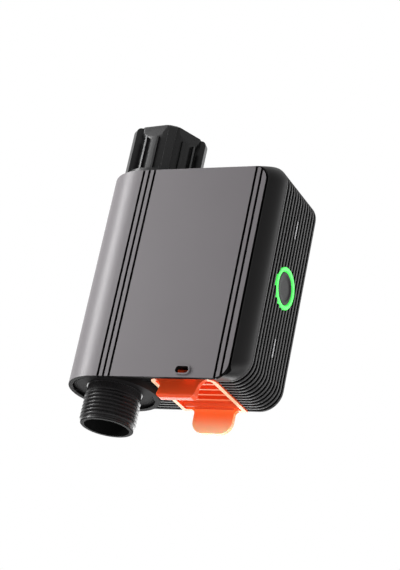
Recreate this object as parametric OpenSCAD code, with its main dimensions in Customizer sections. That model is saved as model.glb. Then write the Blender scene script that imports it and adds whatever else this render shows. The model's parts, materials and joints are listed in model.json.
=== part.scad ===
// Battery powered smart water valve that hangs on a garden tap.
// The pipe axis is the Z axis, the front faces -Y and the push button faces +X.
// The origin lies on the pipe axis where the tap presses on the inlet washer.

/* [Front panel] */
// Height of the front panel
panel_h = 106.5; // [104:0.5:125]
// Right edge of the front panel, measured from the pipe axis
panel_w = 67.6; // [61:0.2:85]
// Thickness of the front cover
cover_t = 2; // [1.6:0.1:2.4]
// Corner radius of the front panel
panel_corner_r = 7.5; // [5:0.5:9]
// Gap at the seams between cover and housing
seam = 0.3; // [0.2:0.05:0.5]
// Gap between the panel's right edge and the flare
edge_gap = 0.9; // [0.4:0.1:1.2]
// Width of the upright grooves in the panel
groove_w = 1.1; // [0.8:0.1:1.4]
// Depth of the upright grooves in the panel
groove_d = 0.8; // [0.4:0.1:1.1]
// Spacing of the upright grooves
groove_pitch = 2.9; // [2.4:0.1:3.4]
// First groove beside the pipe, measured from the pipe axis
groove_x = 2.4; // [1:0.1:6]
// Width of the window above the latch
window_w = 6.5; // [5:0.1:8]
// Height of the window
window_h = 3.2; // [2.6:0.1:3.6]
// Rim that stands proud round the window
window_rim = 0.7; // [0.5:0.1:0.9]

/* [Housing] */
// Radius of the sleeve round the pipe
sleeve_r = 21.75; // [21.2:0.1:23]
// Distance of the flat rear face from the pipe axis
rear_y = 26.5; // [26:0.5:36]
// Depth of the smooth flare behind the panel
flare_depth = 11; // [10:0.5:12]
// How far the flare widens to the right and to the top
flare_out = 5.6; // [5:0.1:6.5]
// How full the flare swells, where 1 is straight
flare_swell = 2; // [1:0.1:2.4]
// Height of the ribbed underside above the panel's lower edge
underside_step = 3.2; // [2.8:0.1:3.6]
// Corner radius of the ribs
rib_corner_r = 10.5; // [8:0.5:12]
// Number of ribs
rib_count = 13; // [9:1:15]
// Share of the rib spacing that is rib
rib_share = 0.52; // [0.4:0.02:0.6]
// Depth of the grooves between the ribs
rib_depth = 1.2; // [0.8:0.1:1.5]
// Wall thickness behind the grooves
wall = 2.2; // [1.8:0.1:2.4]
// Corner radius of the raised box beside the nut
step_r = 6; // [4:0.5:7]
// Left end of the ribbed block, behind the pipe
block_x = -10; // [-12:1:-6]
// Rounding of the block's rear left edge
block_r = 12; // [8:1:14]
// Step of the sleeve's ends inside their rim
end_step = 1.3; // [0.8:0.1:1.6]

/* [Inlet] */
// Height of the washer seat above the panel's top edge
seat_h = 15.7; // [15:0.1:20]
// Minor radius of the G 3/4 inlet thread
inlet_minor_r = 12.06; // [12:0.01:12.1]
// Length of the inlet thread
inlet_thread_l = 13; // [10:0.5:16]
// Reach of the nut's wings from the pipe axis
wing_r = 18.6; // [17.5:0.1:19.5]
// Thickness of a wing
wing_t = 4; // [3:0.1:4.8]
// Number of wings
wing_count = 5; // [4:1:6]
// Turn of the first wing
wing_turn = 12; // [0:1:71]
// Radius of the nut's barrel between the wings
barrel_r = 14.6; // [14.2:0.1:15]
// Radius of the collar at the nut's mouth
collar_r = 15.8; // [15.4:0.1:16.4]
// Thickness of the inlet washer
washer_t = 2.2; // [1.5:0.1:3]

/* [Outlet] */
// Major radius of the G 3/4 outlet thread
outlet_r = 13.22; // [13.1:0.01:13.22]
// Length of the outlet below the panel
outlet_l = 17; // [14:0.5:24]
// Length of the smooth neck above the outlet thread, below the panel
neck_l = 2.4; // [2:0.1:4]
// Bore radius at the outlet's mouth
outlet_bore_r = 10.7; // [9.6:0.1:11]

/* [Valve] */
// Radius of the valve body
body_r = 15.6; // [15.2:0.1:15.8]
// Radius of the ball
ball_r = 10.5; // [9.8:0.1:10.8]
// Radius of the water way through the ball
ball_bore_r = 6.5; // [5:0.1:6.8]
// Radius of the valve stem
stem_r = 3; // [2.6:0.1:3.4]
// Radius of the water way at the turbine
meter_r = 10; // [9.4:0.1:10.4]
// Number of turbine blades
blade_count = 6; // [4:1:8]
// Running clearance of shafts and of the ball
run = 0.06; // [0.03:0.01:0.1]

/* [Drive] */
// Tooth module of the gears
gear_m = 0.8; // [0.7:0.05:0.85]
// Teeth on the valve gear
gear_teeth = 24; // [24:2:36]
// Teeth on the motor's pinion
pinion_teeth = 12; // [12:1:13]
// Width of the valve gear
gear_w = 4.5; // [3:0.5:5]
// Length of the gear motor
motor_l = 24; // [20:1:26]
// Width of the gear motor
motor_w = 12; // [10:0.5:12]
// Height of the gear motor
motor_h = 10; // [8:0.5:10]

/* [Batteries] */
// Diameter of an AA cell
cell_d = 14.5; // [13.5:0.1:14.5]
// Length of an AA cell
cell_l = 50.5; // [48.5:0.1:56.5]
// Spacing of the cells
cell_pitch = 15; // [14.8:0.1:15.2]
// Wall of the battery tray
tray_wall = 1.6; // [1.2:0.1:1.8]
// Length of a compressed battery spring
spring_l = 4.5; // [3.5:0.1:4.8]

/* [Button] */
// Outer radius of the light ring
ring_r = 10; // [9:0.1:11]
// Radius of the push button
cap_r = 7.8; // [6.5:0.1:8.2]
// Travel of the push button
cap_travel = 0.6; // [0.4:0.05:0.7]
// Length of a pale rib inlay
inlay_l = 9.4; // [6:0.2:12]
// Width of a pale rib inlay
inlay_w = 0.9; // [0.6:0.1:1.2]
// Distance of the inlays' middles from the button
inlay_z = 30.2; // [26:0.2:34]

/* [Latch] */
// Left side of the latch pocket
latch_x = 23.3; // [22.8:0.1:26]
// Width of the latch pocket
latch_w = 34; // [30:0.5:36]
// Height of the latch pocket
pocket_h = 5.6; // [5.2:0.1:6]
// Width of the latch's rear tab
tab_w = 21; // [16:0.5:24]
// Length of the rear tab below the ribs
rear_tab_l = 12.2; // [10:0.2:16]
// Width of the front pull
pull_w = 19; // [15:0.5:22]
// Length of the front pull below the panel
pull_l = 7; // [6:0.2:10]
// How far the front pull's lip sweeps forward
pull_sweep = 2.4; // [1.5:0.1:3]
// Radius of the latch's hinge pin
latch_pin_r = 1; // [0.8:0.05:1.2]
// Number of cross ribs in the latch
latch_ribs = 4; // [2:1:5]

/* [Hidden] */
$fn = 64;
// A little extra on cutters, so that no two faces coincide
eps = 0.5;
// Fit of pieces that are pushed home
snug = 0.05;
// Fit of pieces that slide past each other in assembly
slip = 0.2;

// Heights
top_z = -seat_h;
bot_z = top_z - panel_h;
rib_top = top_z + flare_out;
rib_bot = bot_z + underside_step;
mid_z = (rib_top + rib_bot) / 2;
lip_h = 1.2;

// Depths
front_y = -sleeve_r;
cover_y = front_y + cover_t;
rim_y = cover_y + seam;
flare_y = front_y + cover_t / 4;
rib_y = front_y + flare_depth;
in_y = rear_y - wall;
button_y = (rib_y + rear_y) / 2;

// Widths
sleeve_web = 1;
skin = rib_depth + wall;
box_x = sleeve_r + seam;
bay_x = sleeve_r + sleeve_web;
side_x = panel_w + flare_out;
flare_x = panel_w + edge_gap + seam;
in_x = side_x - skin;
split_x = (box_x + side_x) / 2;
rib_pitch = (rear_y - rib_y) / (rib_count - 1 + rib_share);
rib_w = rib_pitch * rib_share;

// Loops of the flare, and steps in each of their corners
flare_loops = 6;
flare_steps = 12;

// Sleeve and its two end caps
end_cap_t = 2.4;
cap_share = 0.6;
flange_h = 3.1;
liner_r = sleeve_r - cover_t - seam;
bore_r = body_r + 2 * slip;
cap_seat_r = bore_r + cap_share * (liner_r - bore_r);
body_top = top_z - end_step - end_cap_t - 2 * snug;
end_z = bot_z + end_step + end_cap_t;
body_bot = end_z + flange_h;

// Mouth of the bay behind the cover, and the gasket round it
rim_w = 2.8;
gasket_in = 0.6;
gasket_w = 1.2;
gasket_d = 1.2;
gasket_r = 3;
gasket_proud = 0.1;
mouth_x1 = panel_w - rim_w;
mouth_z1 = top_z - rim_w;
in_z1 = rib_top - skin;
pocket_z = rib_bot + pocket_h;
mouth_z0 = pocket_z + rim_w + slip;

// Battery tray
tray_lip = 0.6;
tray_setback = 1.2;
tray_foot_r = 3;
tray_foot_in = 5;
contact_t = 0.6;
contact_w = 8;
tray_in_w = cell_pitch + cell_d + 2 * slip;
tray_x = bay_x + seam;
tray_x1 = tray_x + tray_in_w + 2 * tray_wall;
tray_y = rim_y + tray_setback;
tray_y1 = tray_y + tray_lip + tray_in_w + tray_wall;
tray_z = mouth_z0 + seam;
cell_z = tray_z + tray_wall + spring_l;
tray_z1 = cell_z + cell_l + slip + contact_t + tray_wall;
cell_xs = [for (i = [0, 1]) tray_x + tray_wall + slip + cell_d / 2 + i * cell_pitch];
cell_ys = [for (i = [0, 1]) tray_y + tray_lip + cell_d / 2 + i * cell_pitch];
cell_nub_d = 5.4;
cell_nub_l = 1.2;
spring_r = 5;
spring_wire = 0.8;
spring_taper = 2;

// Gears and motor
addendum = 0.8 * gear_m;
dedendum = 1.15 * gear_m;
backlash = 0.1;
drive_gap = 1.2;
drive_turn = 45;
gear_r = gear_m * gear_teeth / 2;
gear_tip_r = gear_r + addendum;
pinion_r = gear_m * pinion_teeth / 2;
gear_gap = gear_r + pinion_r + backlash;
ball_z = tray_z1 + drive_gap + gear_tip_r;
pinion_y = gear_gap * cos(drive_turn);
pinion_z = ball_z + gear_gap * sin(drive_turn);
gear_in = 4.25;
gear_x = bay_x + gear_in;
shaft_r = 1.5;
shaft_l = 6;
plate_t = 1.2;
motor_x = gear_x + gear_w + plate_t + eps;
gearbox_l = 9;
shelf_z = pinion_z - motor_h / 2 - plate_t;

// Ball valve
ball_room = 1.3;
chamber_r = ball_r + ball_room;
seat_reach = ball_r * 0.86;
seat_land = 0.7;
plug_wall = 1.2;
seat_r = ball_bore_r + seat_land;
plug_r = chamber_r + plug_wall;
tang_d = 2.4;
tang_w = 2.8;
tang_l = 4;
bush_r = 5;
bush_head_r = 7.5;
bush_x0 = chamber_r + 2 * slip;
bush_x1 = gear_x - 3 * seam;
seal_w = 1.6;
seal_t = 1.5;
seal_r = stem_r + seal_w;
seal_x = bush_x1 - 2 * seal_t - 3 * slip;

// Inlet
tail_r = 9.6;
flange_gap = 0.46;
flange_r = inlet_minor_r - flange_gap;
flange_t = 3;
foot_in = 2;
nut_bot = top_z + 2 * slip;
foot_r = wing_r - foot_in;
foot_h = 2;
foot_slope = 1.4;
wing_round = 2.5;
wing_drop = 0.4;
collar_h = 3.6;
collar_slope = 2.4;
nut_edge = 0.6;
nut_relief = 0.5;
rib_bar = 1.2;
shoulder_z = -washer_t - flange_t - seam;
filter_t = 1.6;
filter_r = 9;
filter_hole_r = 1;
filter_pitch = 3;
washer_lip = 0.6;

// Outlet
thread_lead = 0.8;
neck_in = 1.6;
throat_in = 1.8;
neck_r = outlet_r - neck_in;
throat_r = meter_r - throat_in;
socket_l = 12;

// Flow meter
meter_lead = 6;
meter_z1 = ball_z - seat_reach - meter_lead;
meter_z = (meter_z1 + body_bot) / 2;
blade_h = 8;
blade_t = 1.2;
blade_tilt = 40;
blade_gap = 0.5;
hub_r = 3;
axle_r = 1;
spider_t = 3;
spider_rim = 1.4;
spoke_w = 1.4;
spider_room = 1.2;
spider_gap = blade_h / 2 + spider_room;

// Button and board
board_t = 1.6;
post_l = 4;
post_r = 2;
post_in = 3.5;
board_h = 60;
board_drop = 32;
board_w = 28;
board_x1 = in_x - post_l;
board_x = board_x1 - board_t;
board_y1 = in_y - wall;
board_y0 = board_y1 - board_w;
board_z0 = mid_z - board_drop;
board_z1 = board_z0 + board_h;
radio_t = 2;
radio_w = 12;
radio_h = 13;
switch_l = 3.4;
switch_w = 6;
plunger_r = 1.7;
led_w = 1.6;
led_t = 1;
ring_flange = 1.6;
ring_proud = 0.2;
lip_t = 1.5;
cap_edge = 0.4;
cap_dish = 0.3;
cap_border = 1.4;
lip_x = side_x - lip_t;
cap_flange_x = lip_x - seam;
cap_back_x = board_x1 + switch_l + slip + cap_travel + 2 * snug;
cap_front_x = side_x - slip;
cap_flange = 1.1;
cap_flange_r = cap_r + cap_flange;
inlay_root = 0.8;

// Latch
lever_rim = 1.8;
lever_corner = 4.5;
recess_d = 2.4;
tab_t = 2.2;
tab_corner = 5;
tab_fillet = 2;
flow_r = 4.5;
pull_fillet = 4.5;
lip_r = 1.5;
bar_w = 1.4;
bar_drop = 0.8;
latch_mid = latch_x + latch_w / 2;
tab_x = latch_mid - tab_w / 2;
pull_x = latch_mid - pull_w / 2;
lever_x = latch_x + seam;
lever_w = latch_w - 2 * seam;
lever_x1 = lever_x + lever_w;
lever_in = 6.4;
lever_y = rim_y + lever_in;
lever_y1 = rear_y - seam;
lever_proud = 0.4;
lever_drop = 1.6;
lever_bot = rib_bot - lever_proud;
lever_top = pocket_z - lever_drop;
recess_y = lever_y + lever_rim;
flow_y = lever_y1 - tab_t - flow_r;
pin_in = 4.2;
pin_up = 2.6;
pin_y = rear_y - pin_in;
pin_z = rib_bot + pin_up;
pin_grip = 3.8;
hinge_wall = 1.4;
hinge_r = latch_pin_r + hinge_wall;
heel_h = 0.7;
pull_z = bot_z - pull_l;
window_off = 5;
window_up = 3.6;
window_x = latch_mid + window_off;
window_z = bot_z + window_up;
nose_gap = 0.35;

// Locating tongues behind the cover
tongue_t = 1;
tongue_l = 3;
tongue_h = 12;
tongue_in = 6;

// Screw bosses of the inner lid
lid_t = 1.5;
lid_y = rim_y + eps;
lid_z0 = tray_z1 + 2 * slip;
boss_r = 2.8;
boss_l = 4;
screw_r = 1.1;
screw_bite = 2.4;
screw_head_r = 2;
screw_head_t = 0.8;
lid_xs = [bay_x + boss_r - seam, mouth_x1 - boss_r + slip];
lid_zs = [lid_z0 + boss_r, mouth_z1 - boss_r - slip];

// Plain helpers

// Cylinder along +X between x0 and x1
module rod_x(r, x0, x1, y = 0, z = 0)
    translate([x0, y, z]) rotate([0, 90, 0]) cylinder(r = r, h = x1 - x0);

// Cylinder along +Y between y0 and y1
module rod_y(r, y0, y1, x = 0, z = 0)
    translate([x, y1, z]) rotate([90, 0, 0]) cylinder(r = r, h = y1 - y0);

// Cylinder along +Z between z0 and z1, on the pipe axis
module rod_z(r, z0, z1)
    translate([0, 0, z0]) cylinder(r = r, h = z1 - z0);

// Box given by two corners
module box(a, b)
    translate(a) cube(b - a);

// Outline with round corners
module outline(x0, z0, x1, z1, r) {
    translate([x0 + r, z0]) square([x1 - x0 - 2 * r, z1 - z0]);
    translate([x0, z0 + r]) square([x1 - x0, z1 - z0 - 2 * r]);
    for (x = [x0 + r, x1 - r], z = [z0 + r, z1 - r])
        translate([x, z]) circle(r);
}

// Hollow corner that fills the angle right of and below a point
module fillet_outline(r)
    difference() {
        translate([-snug, -r]) square([r + snug, r + snug]);
        translate([r, -r]) circle(r);
    }

// Upright outline, drawn in X and Z, with a thickness along Y
module upright(y0, y1)
    translate([0, y1, 0]) rotate([90, 0, 0]) linear_extrude(y1 - y0) children();

// Side outline, drawn in Y and Z, with a thickness along X
module sideways(x0, x1)
    translate([x0, 0, 0]) rotate([90, 0, 90]) linear_extrude(x1 - x0) children();

// Ring with a square section along Z
module ring_z(r0, r1, z0, z1)
    difference() {
        rod_z(r1, z0, z1);
        rod_z(r0, z0 - eps, z1 + eps);
    }

// Ring with a square section along X
module ring_x(r0, r1, x0, x1, y = 0, z = 0)
    difference() {
        rod_x(r1, x0, x1, y, z);
        rod_x(r0, x0 - eps, x1 + eps, y, z);
    }

// Spur gear outline with straight flanks and some backlash
module gear_outline(teeth, turn) {
    r = gear_m * teeth / 2;
    root = r - dedendum;
    foot = root - gear_m / 2;
    tip = r + addendum;
    root_w = 0.9 * gear_m;
    mid_w = 0.68 * gear_m;
    tip_w = 0.34 * gear_m;
    circle(root);
    for (i = [0 : teeth - 1])
        rotate(turn + i * 360 / teeth)
            polygon([
                [foot, -root_w], [root, -root_w], [r, -mid_w], [tip, -tip_w],
                [tip, tip_w], [r, mid_w], [root, root_w], [foot, root_w]
            ]);
}

// Housing

// Side view of the ribbed block: raised box on the right, low part behind the pipe
module block_outline(inset) {
    box_outline(inset);
    translate([block_x + inset, rib_bot + inset])
        square([box_x + rib_corner_r + eps - block_x, top_z - rib_bot - 2 * inset]);
}

// Raised box with wide corners on the right and narrow ones beside the nut
module box_outline(inset) {
    z0 = rib_bot + inset;
    z1 = rib_top - inset;
    outline(box_x + inset, z0, split_x + 2 * rib_corner_r, z1, step_r - inset);
    outline(split_x, z0, side_x - inset, z1, rib_corner_r - inset);
}

module ribbed_block()
    intersection() {
        union() {
            upright(rib_y, rear_y) block_outline(rib_depth);
            for (i = [0 : rib_count - 1])
                upright(rib_y + i * rib_pitch, rib_y + i * rib_pitch + rib_w) block_outline(0);
        }
        union() {
            box([block_x + block_r, rib_y - 1, bot_z], [side_x + 1, rear_y + 1, rib_top + 1]);
            box([block_x - 1, rib_y - 1, bot_z], [block_x + block_r + 1, rear_y - block_r, rib_top + 1]);
            translate([block_x + block_r, rear_y - block_r, 0]) rod_z(block_r, bot_z, rib_top + 1);
        }
    }

// Value that lies the share t of the way from a to b
function between(a, b, t) = a + (b - a) * t;

// Points of a loop with round corners, counted alike in every loop
function loop_points(y, x0, z0, x1, z1, left_r, right_r) = [
    for (c = [
            [x1 - right_r, z1 - right_r, right_r, 0], [x0 + left_r, z1 - left_r, left_r, 90],
            [x0 + left_r, z0 + left_r, left_r, 180], [x1 - right_r, z0 + right_r, right_r, 270]
        ], i = [0 : flare_steps])
        let (turn = c[3] + 90 * i / flare_steps)
            [c[0] + c[2] * cos(turn), y, c[1] + c[2] * sin(turn)]
];

// Loop of the flare, the share t of the way from the panel to the first rib
function flare_loop(t) =
    let (out = 1 - pow(1 - t, flare_swell))
        loop_points(between(flare_y, rib_y, t), box_x + snug, between(bot_z + lip_h, rib_bot + snug, t),
            between(flare_x, side_x - snug, out), between(top_z + seam, rib_top - snug, out),
            between(panel_corner_r, step_r - snug, t), between(panel_corner_r, rib_corner_r - snug, t));

// Swelling flare from the panel's outline to the first rib
module flare() {
    n = 4 * (flare_steps + 1);
    polyhedron(
        [for (j = [0 : flare_loops]) each flare_loop(j / flare_loops)],
        [
            [for (i = [n - 1 : -1 : 0]) i],
            [for (i = [0 : n - 1]) flare_loops * n + i],
            for (j = [0 : flare_loops - 1], i = [0 : n - 1])
                let (k = (i + 1) % n)
                    each [[j * n + i, j * n + k, j * n + n + k], [j * n + i, j * n + n + k, j * n + n + i]]
        ]);
}

// Room that the cover needs in front of the housing
module cover_room() {
    upright(front_y - 1, rim_y)
        outline(-panel_corner_r, bot_z - 2 * panel_corner_r, panel_w + edge_gap, top_z + seam / 2,
            panel_corner_r);
    intersection() {
        ring_z(liner_r, sleeve_r + 1, bot_z - 1, top_z + 1);
        box([-sleeve_r - 1, -sleeve_r - 1, bot_z - 1], [0, 0, top_z + 1]);
    }
}

module bay() {
    box([bay_x, rim_y - 1, mouth_z0], [mouth_x1, in_y, mouth_z1]);
    intersection() {
        upright(rib_y, in_y) box_outline(skin);
        box([bay_x, rib_y, mouth_z0], [in_x, in_y, in_z1]);
    }
}

module latch_pocket() {
    box([latch_x, rim_y - 1, bot_z - 1], [latch_x + latch_w, rear_y + 1, pocket_z]);
    rod_x(latch_pin_r + run / 2, latch_x - pin_grip - slip, latch_x + latch_w + pin_grip + slip,
        pin_y, pin_z);
}

module gasket_loop(y0, y1, grow)
    difference() {
        upright(y0, y1) mouth_outline(gasket_in + gasket_w + grow, gasket_r + grow);
        upright(y0 - eps, y1 + eps) mouth_outline(gasket_in - grow, gasket_r - gasket_w - grow);
    }

module mouth_outline(grow, r)
    outline(bay_x - grow, mouth_z0 - grow, mouth_x1 + grow, mouth_z1 + grow, r);

module inlay_blocks()
    for (s = [-1, 1])
        translate([side_x - rib_depth - inlay_root, button_y - inlay_w / 2,
                mid_z + s * inlay_z - inlay_l / 2])
            cube([rib_depth + inlay_root, inlay_w, inlay_l]);

module board_posts()
    for (y = [board_y0 + post_in, board_y1 - post_in], z = [board_z0 + post_in, board_z1 - post_in])
        rod_x(post_r, board_x1, in_x + eps, y, z);

module end_recess(z, s) {
    rod_z(cap_seat_r, min(z, z + s * (end_step + end_cap_t)), max(z, z + s * (end_step + end_cap_t)));
    rod_z(liner_r, min(z, z + s * end_step), max(z, z + s * end_step));
}

module rear_housing()
    color([0.17, 0.16, 0.17])
        difference() {
            union() {
                difference() {
                    union() {
                        ribbed_block();
                        flare();
                        rod_z(sleeve_r, bot_z, top_z);
                        box([0, rim_y, pocket_z + slip], [box_x + step_r / 2, rib_y + 1, top_z]);
                    }
                    bay();
                    inlay_blocks();
                }
                board_posts();
                for (x = lid_xs, z = lid_zs)
                    rod_y(boss_r, lid_y + lid_t, lid_y + lid_t + boss_l, x, z);
            }
            cover_room();
            latch_pocket();
            gasket_loop(rim_y - eps, rim_y + gasket_d, gasket_proud);
            rod_z(bore_r, bot_z - 1, top_z + 1);
            end_recess(bot_z, 1);
            end_recess(top_z, -1);
            rod_x(bush_head_r + 2 * slip, 0, bay_x + 1, 0, ball_z);
            rod_x(ring_r + 2 * snug, in_x - 1, side_x + 1, button_y, mid_z);
            for (x = lid_xs, z = lid_zs)
                rod_y(screw_r, lid_y, lid_y + lid_t + screw_bite + eps, x, z);
        }

// Front cover with its roll round the pipe

module cover_shell() {
    difference() {
        upright(front_y, cover_y) outline(-panel_corner_r, bot_z, panel_w, top_z, panel_corner_r);
        box([-panel_corner_r - 1, front_y - 1, bot_z - 1], [0, cover_y + 1, top_z + 1]);
    }
    intersection() {
        ring_z(sleeve_r - cover_t, sleeve_r, bot_z, top_z);
        box([-sleeve_r - 1, -sleeve_r - 1, bot_z - 1], [0, -seam, top_z + 1]);
    }
}

module panel_groove(x)
    box([x - groove_w / 2, front_y - 1, bot_z - 1], [x + groove_w / 2, front_y + groove_d, top_z + 1]);

module window_outline(grow)
    outline(window_x - window_w / 2 - grow, window_z - window_h / 2 - grow,
        window_x + window_w / 2 + grow, window_z + window_h / 2 + grow, window_h / 2 - slip + grow);

module front_cover()
    color([0.48, 0.46, 0.47])
        difference() {
            union() {
                cover_shell();
                upright(front_y - window_rim, front_y + eps) window_outline(window_rim);
                for (z = [tray_z + tongue_in, tray_z1 - tongue_in - tongue_h])
                    box([mouth_x1 - tongue_t - seam, cover_y - eps, z],
                        [mouth_x1 - seam, rim_y + tongue_l, z + tongue_h]);
            }
            for (i = [0 : 2])
                panel_groove(groove_x + i * groove_pitch);
            for (i = [1, 2])
                panel_groove(panel_w - i * groove_pitch);
            upright(front_y - 2, cover_y + 1) window_outline(0);
        }

module cover_gasket()
    color([0.1, 0.1, 0.1]) gasket_loop(rim_y - gasket_proud, rim_y + gasket_d, 0);

// Latch

// Frame seen from below, with round front corners
module lever_outline(inset, y0, y1) {
    r = lever_corner - inset;
    outline(lever_x + inset, y0, lever_x1 - inset, y1, r);
    translate([lever_x + inset, y1 - 2 * r]) square([lever_w - 2 * inset, 2 * r]);
}

// Fillets on both sides of a tab that hangs from z
module tab_fillets(x, w, z, r) {
    translate([x + w, z]) fillet_outline(r);
    translate([x, z]) mirror([1, 0]) fillet_outline(r);
}

// Finger tab at the rear, which flows out of the recess
module rear_tab() {
    z0 = rib_bot - rear_tab_l;
    upright(lever_y1 - tab_t, lever_y1) {
        translate([tab_x, z0 + tab_corner]) square([tab_w, lever_top - z0 - tab_corner]);
        translate([tab_x + tab_corner, z0]) square([tab_w - 2 * tab_corner, tab_corner + eps]);
        for (x = [tab_x + tab_corner, tab_x + tab_w - tab_corner])
            translate([x, z0 + tab_corner]) circle(tab_corner);
        tab_fillets(tab_x, tab_w, lever_bot, tab_fillet);
    }
    difference() {
        box([tab_x, flow_y, lever_bot + recess_d - flow_r],
            [tab_x + tab_w, lever_y1 - tab_t + eps, lever_bot + recess_d + eps]);
        rod_x(flow_r, tab_x - 1, tab_x + tab_w + 1, flow_y, lever_bot + recess_d - flow_r);
    }
}

// Pull at the front, swept forward to a thick lip
module front_pull() {
    lip_z = pull_z + 2 * lip_r;
    lip_y = lever_y - pull_sweep;
    sideways(pull_x, pull_x + pull_w) {
        translate([lever_y, lip_z - eps]) square([tab_t, lever_top - lip_z + eps]);
        translate([lever_y, lip_z + pull_sweep]) mirror([1, 0]) fillet_outline(pull_sweep);
        translate([lip_y + lip_r, pull_z]) square([lever_y + tab_t - lip_y - 2 * lip_r, 2 * lip_r]);
        for (y = [lip_y + lip_r, lever_y + tab_t - lip_r])
            translate([y, pull_z + lip_r]) circle(lip_r);
    }
    upright(lever_y, lever_y + tab_t) tab_fillets(pull_x, pull_w, lever_bot, pull_fillet);
}

module latch_lever()
    color([1, 0.35, 0.15])
        difference() {
            union() {
                difference() {
                    translate([0, 0, lever_bot]) linear_extrude(lever_top - lever_bot)
                        lever_outline(0, lever_y, lever_y1);
                    translate([0, 0, lever_bot - 1]) linear_extrude(recess_d + 1)
                        lever_outline(lever_rim, recess_y, lever_y1 - lever_rim);
                }
                rod_x(hinge_r, lever_x, lever_x1, pin_y, pin_z);
                for (i = [1 : latch_ribs])
                    translate([lever_x + lever_rim / 2,
                            recess_y + i * (flow_y - recess_y) / (latch_ribs + 1) - bar_w / 2,
                            lever_bot + bar_drop])
                        cube([lever_w - lever_rim, bar_w, recess_d]);
                rear_tab();
                front_pull();
                box([window_x - window_w / 2 + seam, cover_y + nose_gap, window_z - window_h / 2 + seam],
                    [window_x + window_w / 2 - seam, lever_y + eps, window_z + window_h / 2 - seam]);
            }
            rod_x(latch_pin_r + run, lever_x - 1, lever_x1 + 1, pin_y, pin_z);
            box([lever_x - 1, pin_y + hinge_r, pin_z + heel_h], [lever_x1 + 1, rear_y + 1, lever_top + 1]);
        }

module latch_pin()
    color([0.75, 0.75, 0.76])
        rod_x(latch_pin_r, latch_x - pin_grip, latch_x + latch_w + pin_grip, pin_y, pin_z);

// Push button and its light

module light_ring()
    color([0.4, 1, 0.45])
        difference() {
            union() {
                rod_x(ring_r, in_x - eps, side_x + ring_proud, button_y, mid_z);
                rod_x(ring_r + ring_flange, in_x - ring_flange, in_x, button_y, mid_z);
            }
            rod_x(cap_r + seam, in_x - ring_flange - 1, side_x + 1, button_y, mid_z);
            rod_x(cap_flange_r + seam, in_x - ring_flange - 1, lip_x, button_y, mid_z);
        }

module button_cap()
    color([0.27, 0.25, 0.27])
        translate([0, button_y, mid_z]) rotate([0, 90, 0])
            rotate_extrude()
                polygon([
                    [0, cap_back_x],
                    [cap_flange_r, cap_back_x],
                    [cap_flange_r, cap_flange_x],
                    [cap_r, cap_flange_x],
                    [cap_r, cap_front_x - cap_edge],
                    [cap_r - cap_edge, cap_front_x],
                    [cap_r - cap_border, cap_front_x],
                    [cap_r - cap_border - cap_edge, cap_front_x - cap_dish],
                    [0, cap_front_x - cap_dish]
                ]);

module rib_inlays()
    color([0.85, 0.85, 0.85]) inlay_blocks();

// Inlet

// Room that the wings fill, with a round upper corner
module wing_envelope()
    rotate_extrude() {
        root = inlet_minor_r + 1;
        crown = inlet_thread_l - wing_drop;
        translate([root, nut_bot]) square([wing_r - wing_round - root, crown - nut_bot]);
        translate([root, nut_bot]) square([wing_r - root, crown - wing_round - nut_bot]);
        translate([wing_r - wing_round, crown - wing_round]) circle(wing_round);
    }

// Two ribs in the pocket between two wings
module pocket_ribs()
    for (s = [-1, 1])
        rotate([0, 0, (180 + s * 60) / wing_count])
            translate([barrel_r - rib_bar / 2, -rib_bar / 2, nut_bot + 1])
                cube([collar_r - barrel_r + rib_bar / 4, rib_bar,
                    inlet_thread_l - collar_h - collar_slope - nut_bot]);

module nut_barrel()
    rotate_extrude()
        polygon([
            [tail_r + seam, nut_bot],
            [foot_r, nut_bot],
            [foot_r, nut_bot + foot_h],
            [barrel_r, nut_bot + foot_h + foot_slope],
            [barrel_r, inlet_thread_l - collar_h - collar_slope],
            [collar_r, inlet_thread_l - collar_h],
            [collar_r, inlet_thread_l - nut_edge],
            [collar_r - nut_edge, inlet_thread_l],
            [inlet_minor_r, inlet_thread_l],
            [inlet_minor_r, 0],
            [inlet_minor_r + nut_relief, 0],
            [inlet_minor_r + nut_relief, shoulder_z],
            [tail_r + seam, shoulder_z]
        ]);

module inlet_nut()
    color([0.08, 0.08, 0.08]) {
        nut_barrel();
        for (i = [0 : wing_count - 1])
            rotate([0, 0, wing_turn + i * 360 / wing_count]) {
                intersection() {
                    wing_envelope();
                    translate([0, -wing_t / 2, nut_bot + wing_drop])
                        cube([wing_r + 1, wing_t, inlet_thread_l - nut_bot]);
                }
                pocket_ribs();
            }
    }

module inlet_tail()
    color([0.72, 0.6, 0.32])
        rotate_extrude()
            polygon([
                [seat_r, ball_z + seat_reach],
                [plug_r, ball_z + seat_reach],
                [plug_r, body_top],
                [tail_r, body_top],
                [tail_r, -washer_t - flange_t],
                [flange_r, -washer_t - flange_t],
                [flange_r, -washer_t],
                [filter_r, -washer_t],
                [filter_r, -washer_t - filter_t],
                [seat_r, -washer_t - filter_t]
            ]);

module inlet_washer()
    color([0.12, 0.12, 0.13]) ring_z(filter_r - washer_lip, flange_r, -washer_t, 0);

module inlet_filter()
    color([0.7, 0.72, 0.72])
        difference() {
            rod_z(filter_r - snug, -washer_t - filter_t, -washer_t);
            rod_z(filter_hole_r, -washer_t - filter_t - 1, 0);
            for (ring = [1, 2], i = [0 : 6 * ring - 1])
                rotate([0, 0, i * 60 / ring])
                    translate([ring * filter_pitch, 0, 0])
                        rod_z(filter_hole_r, -washer_t - filter_t - 1, 0);
        }

module inlet_cap()
    color([0.14, 0.13, 0.14])
        ring_z(tail_r + slip, cap_seat_r - 2 * snug, top_z - end_step - end_cap_t, top_z - end_step);

// Outlet

module outlet_cap()
    color([0.14, 0.13, 0.14])
        ring_z(outlet_r + seam, cap_seat_r - 2 * snug, bot_z + end_step, end_z);

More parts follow.
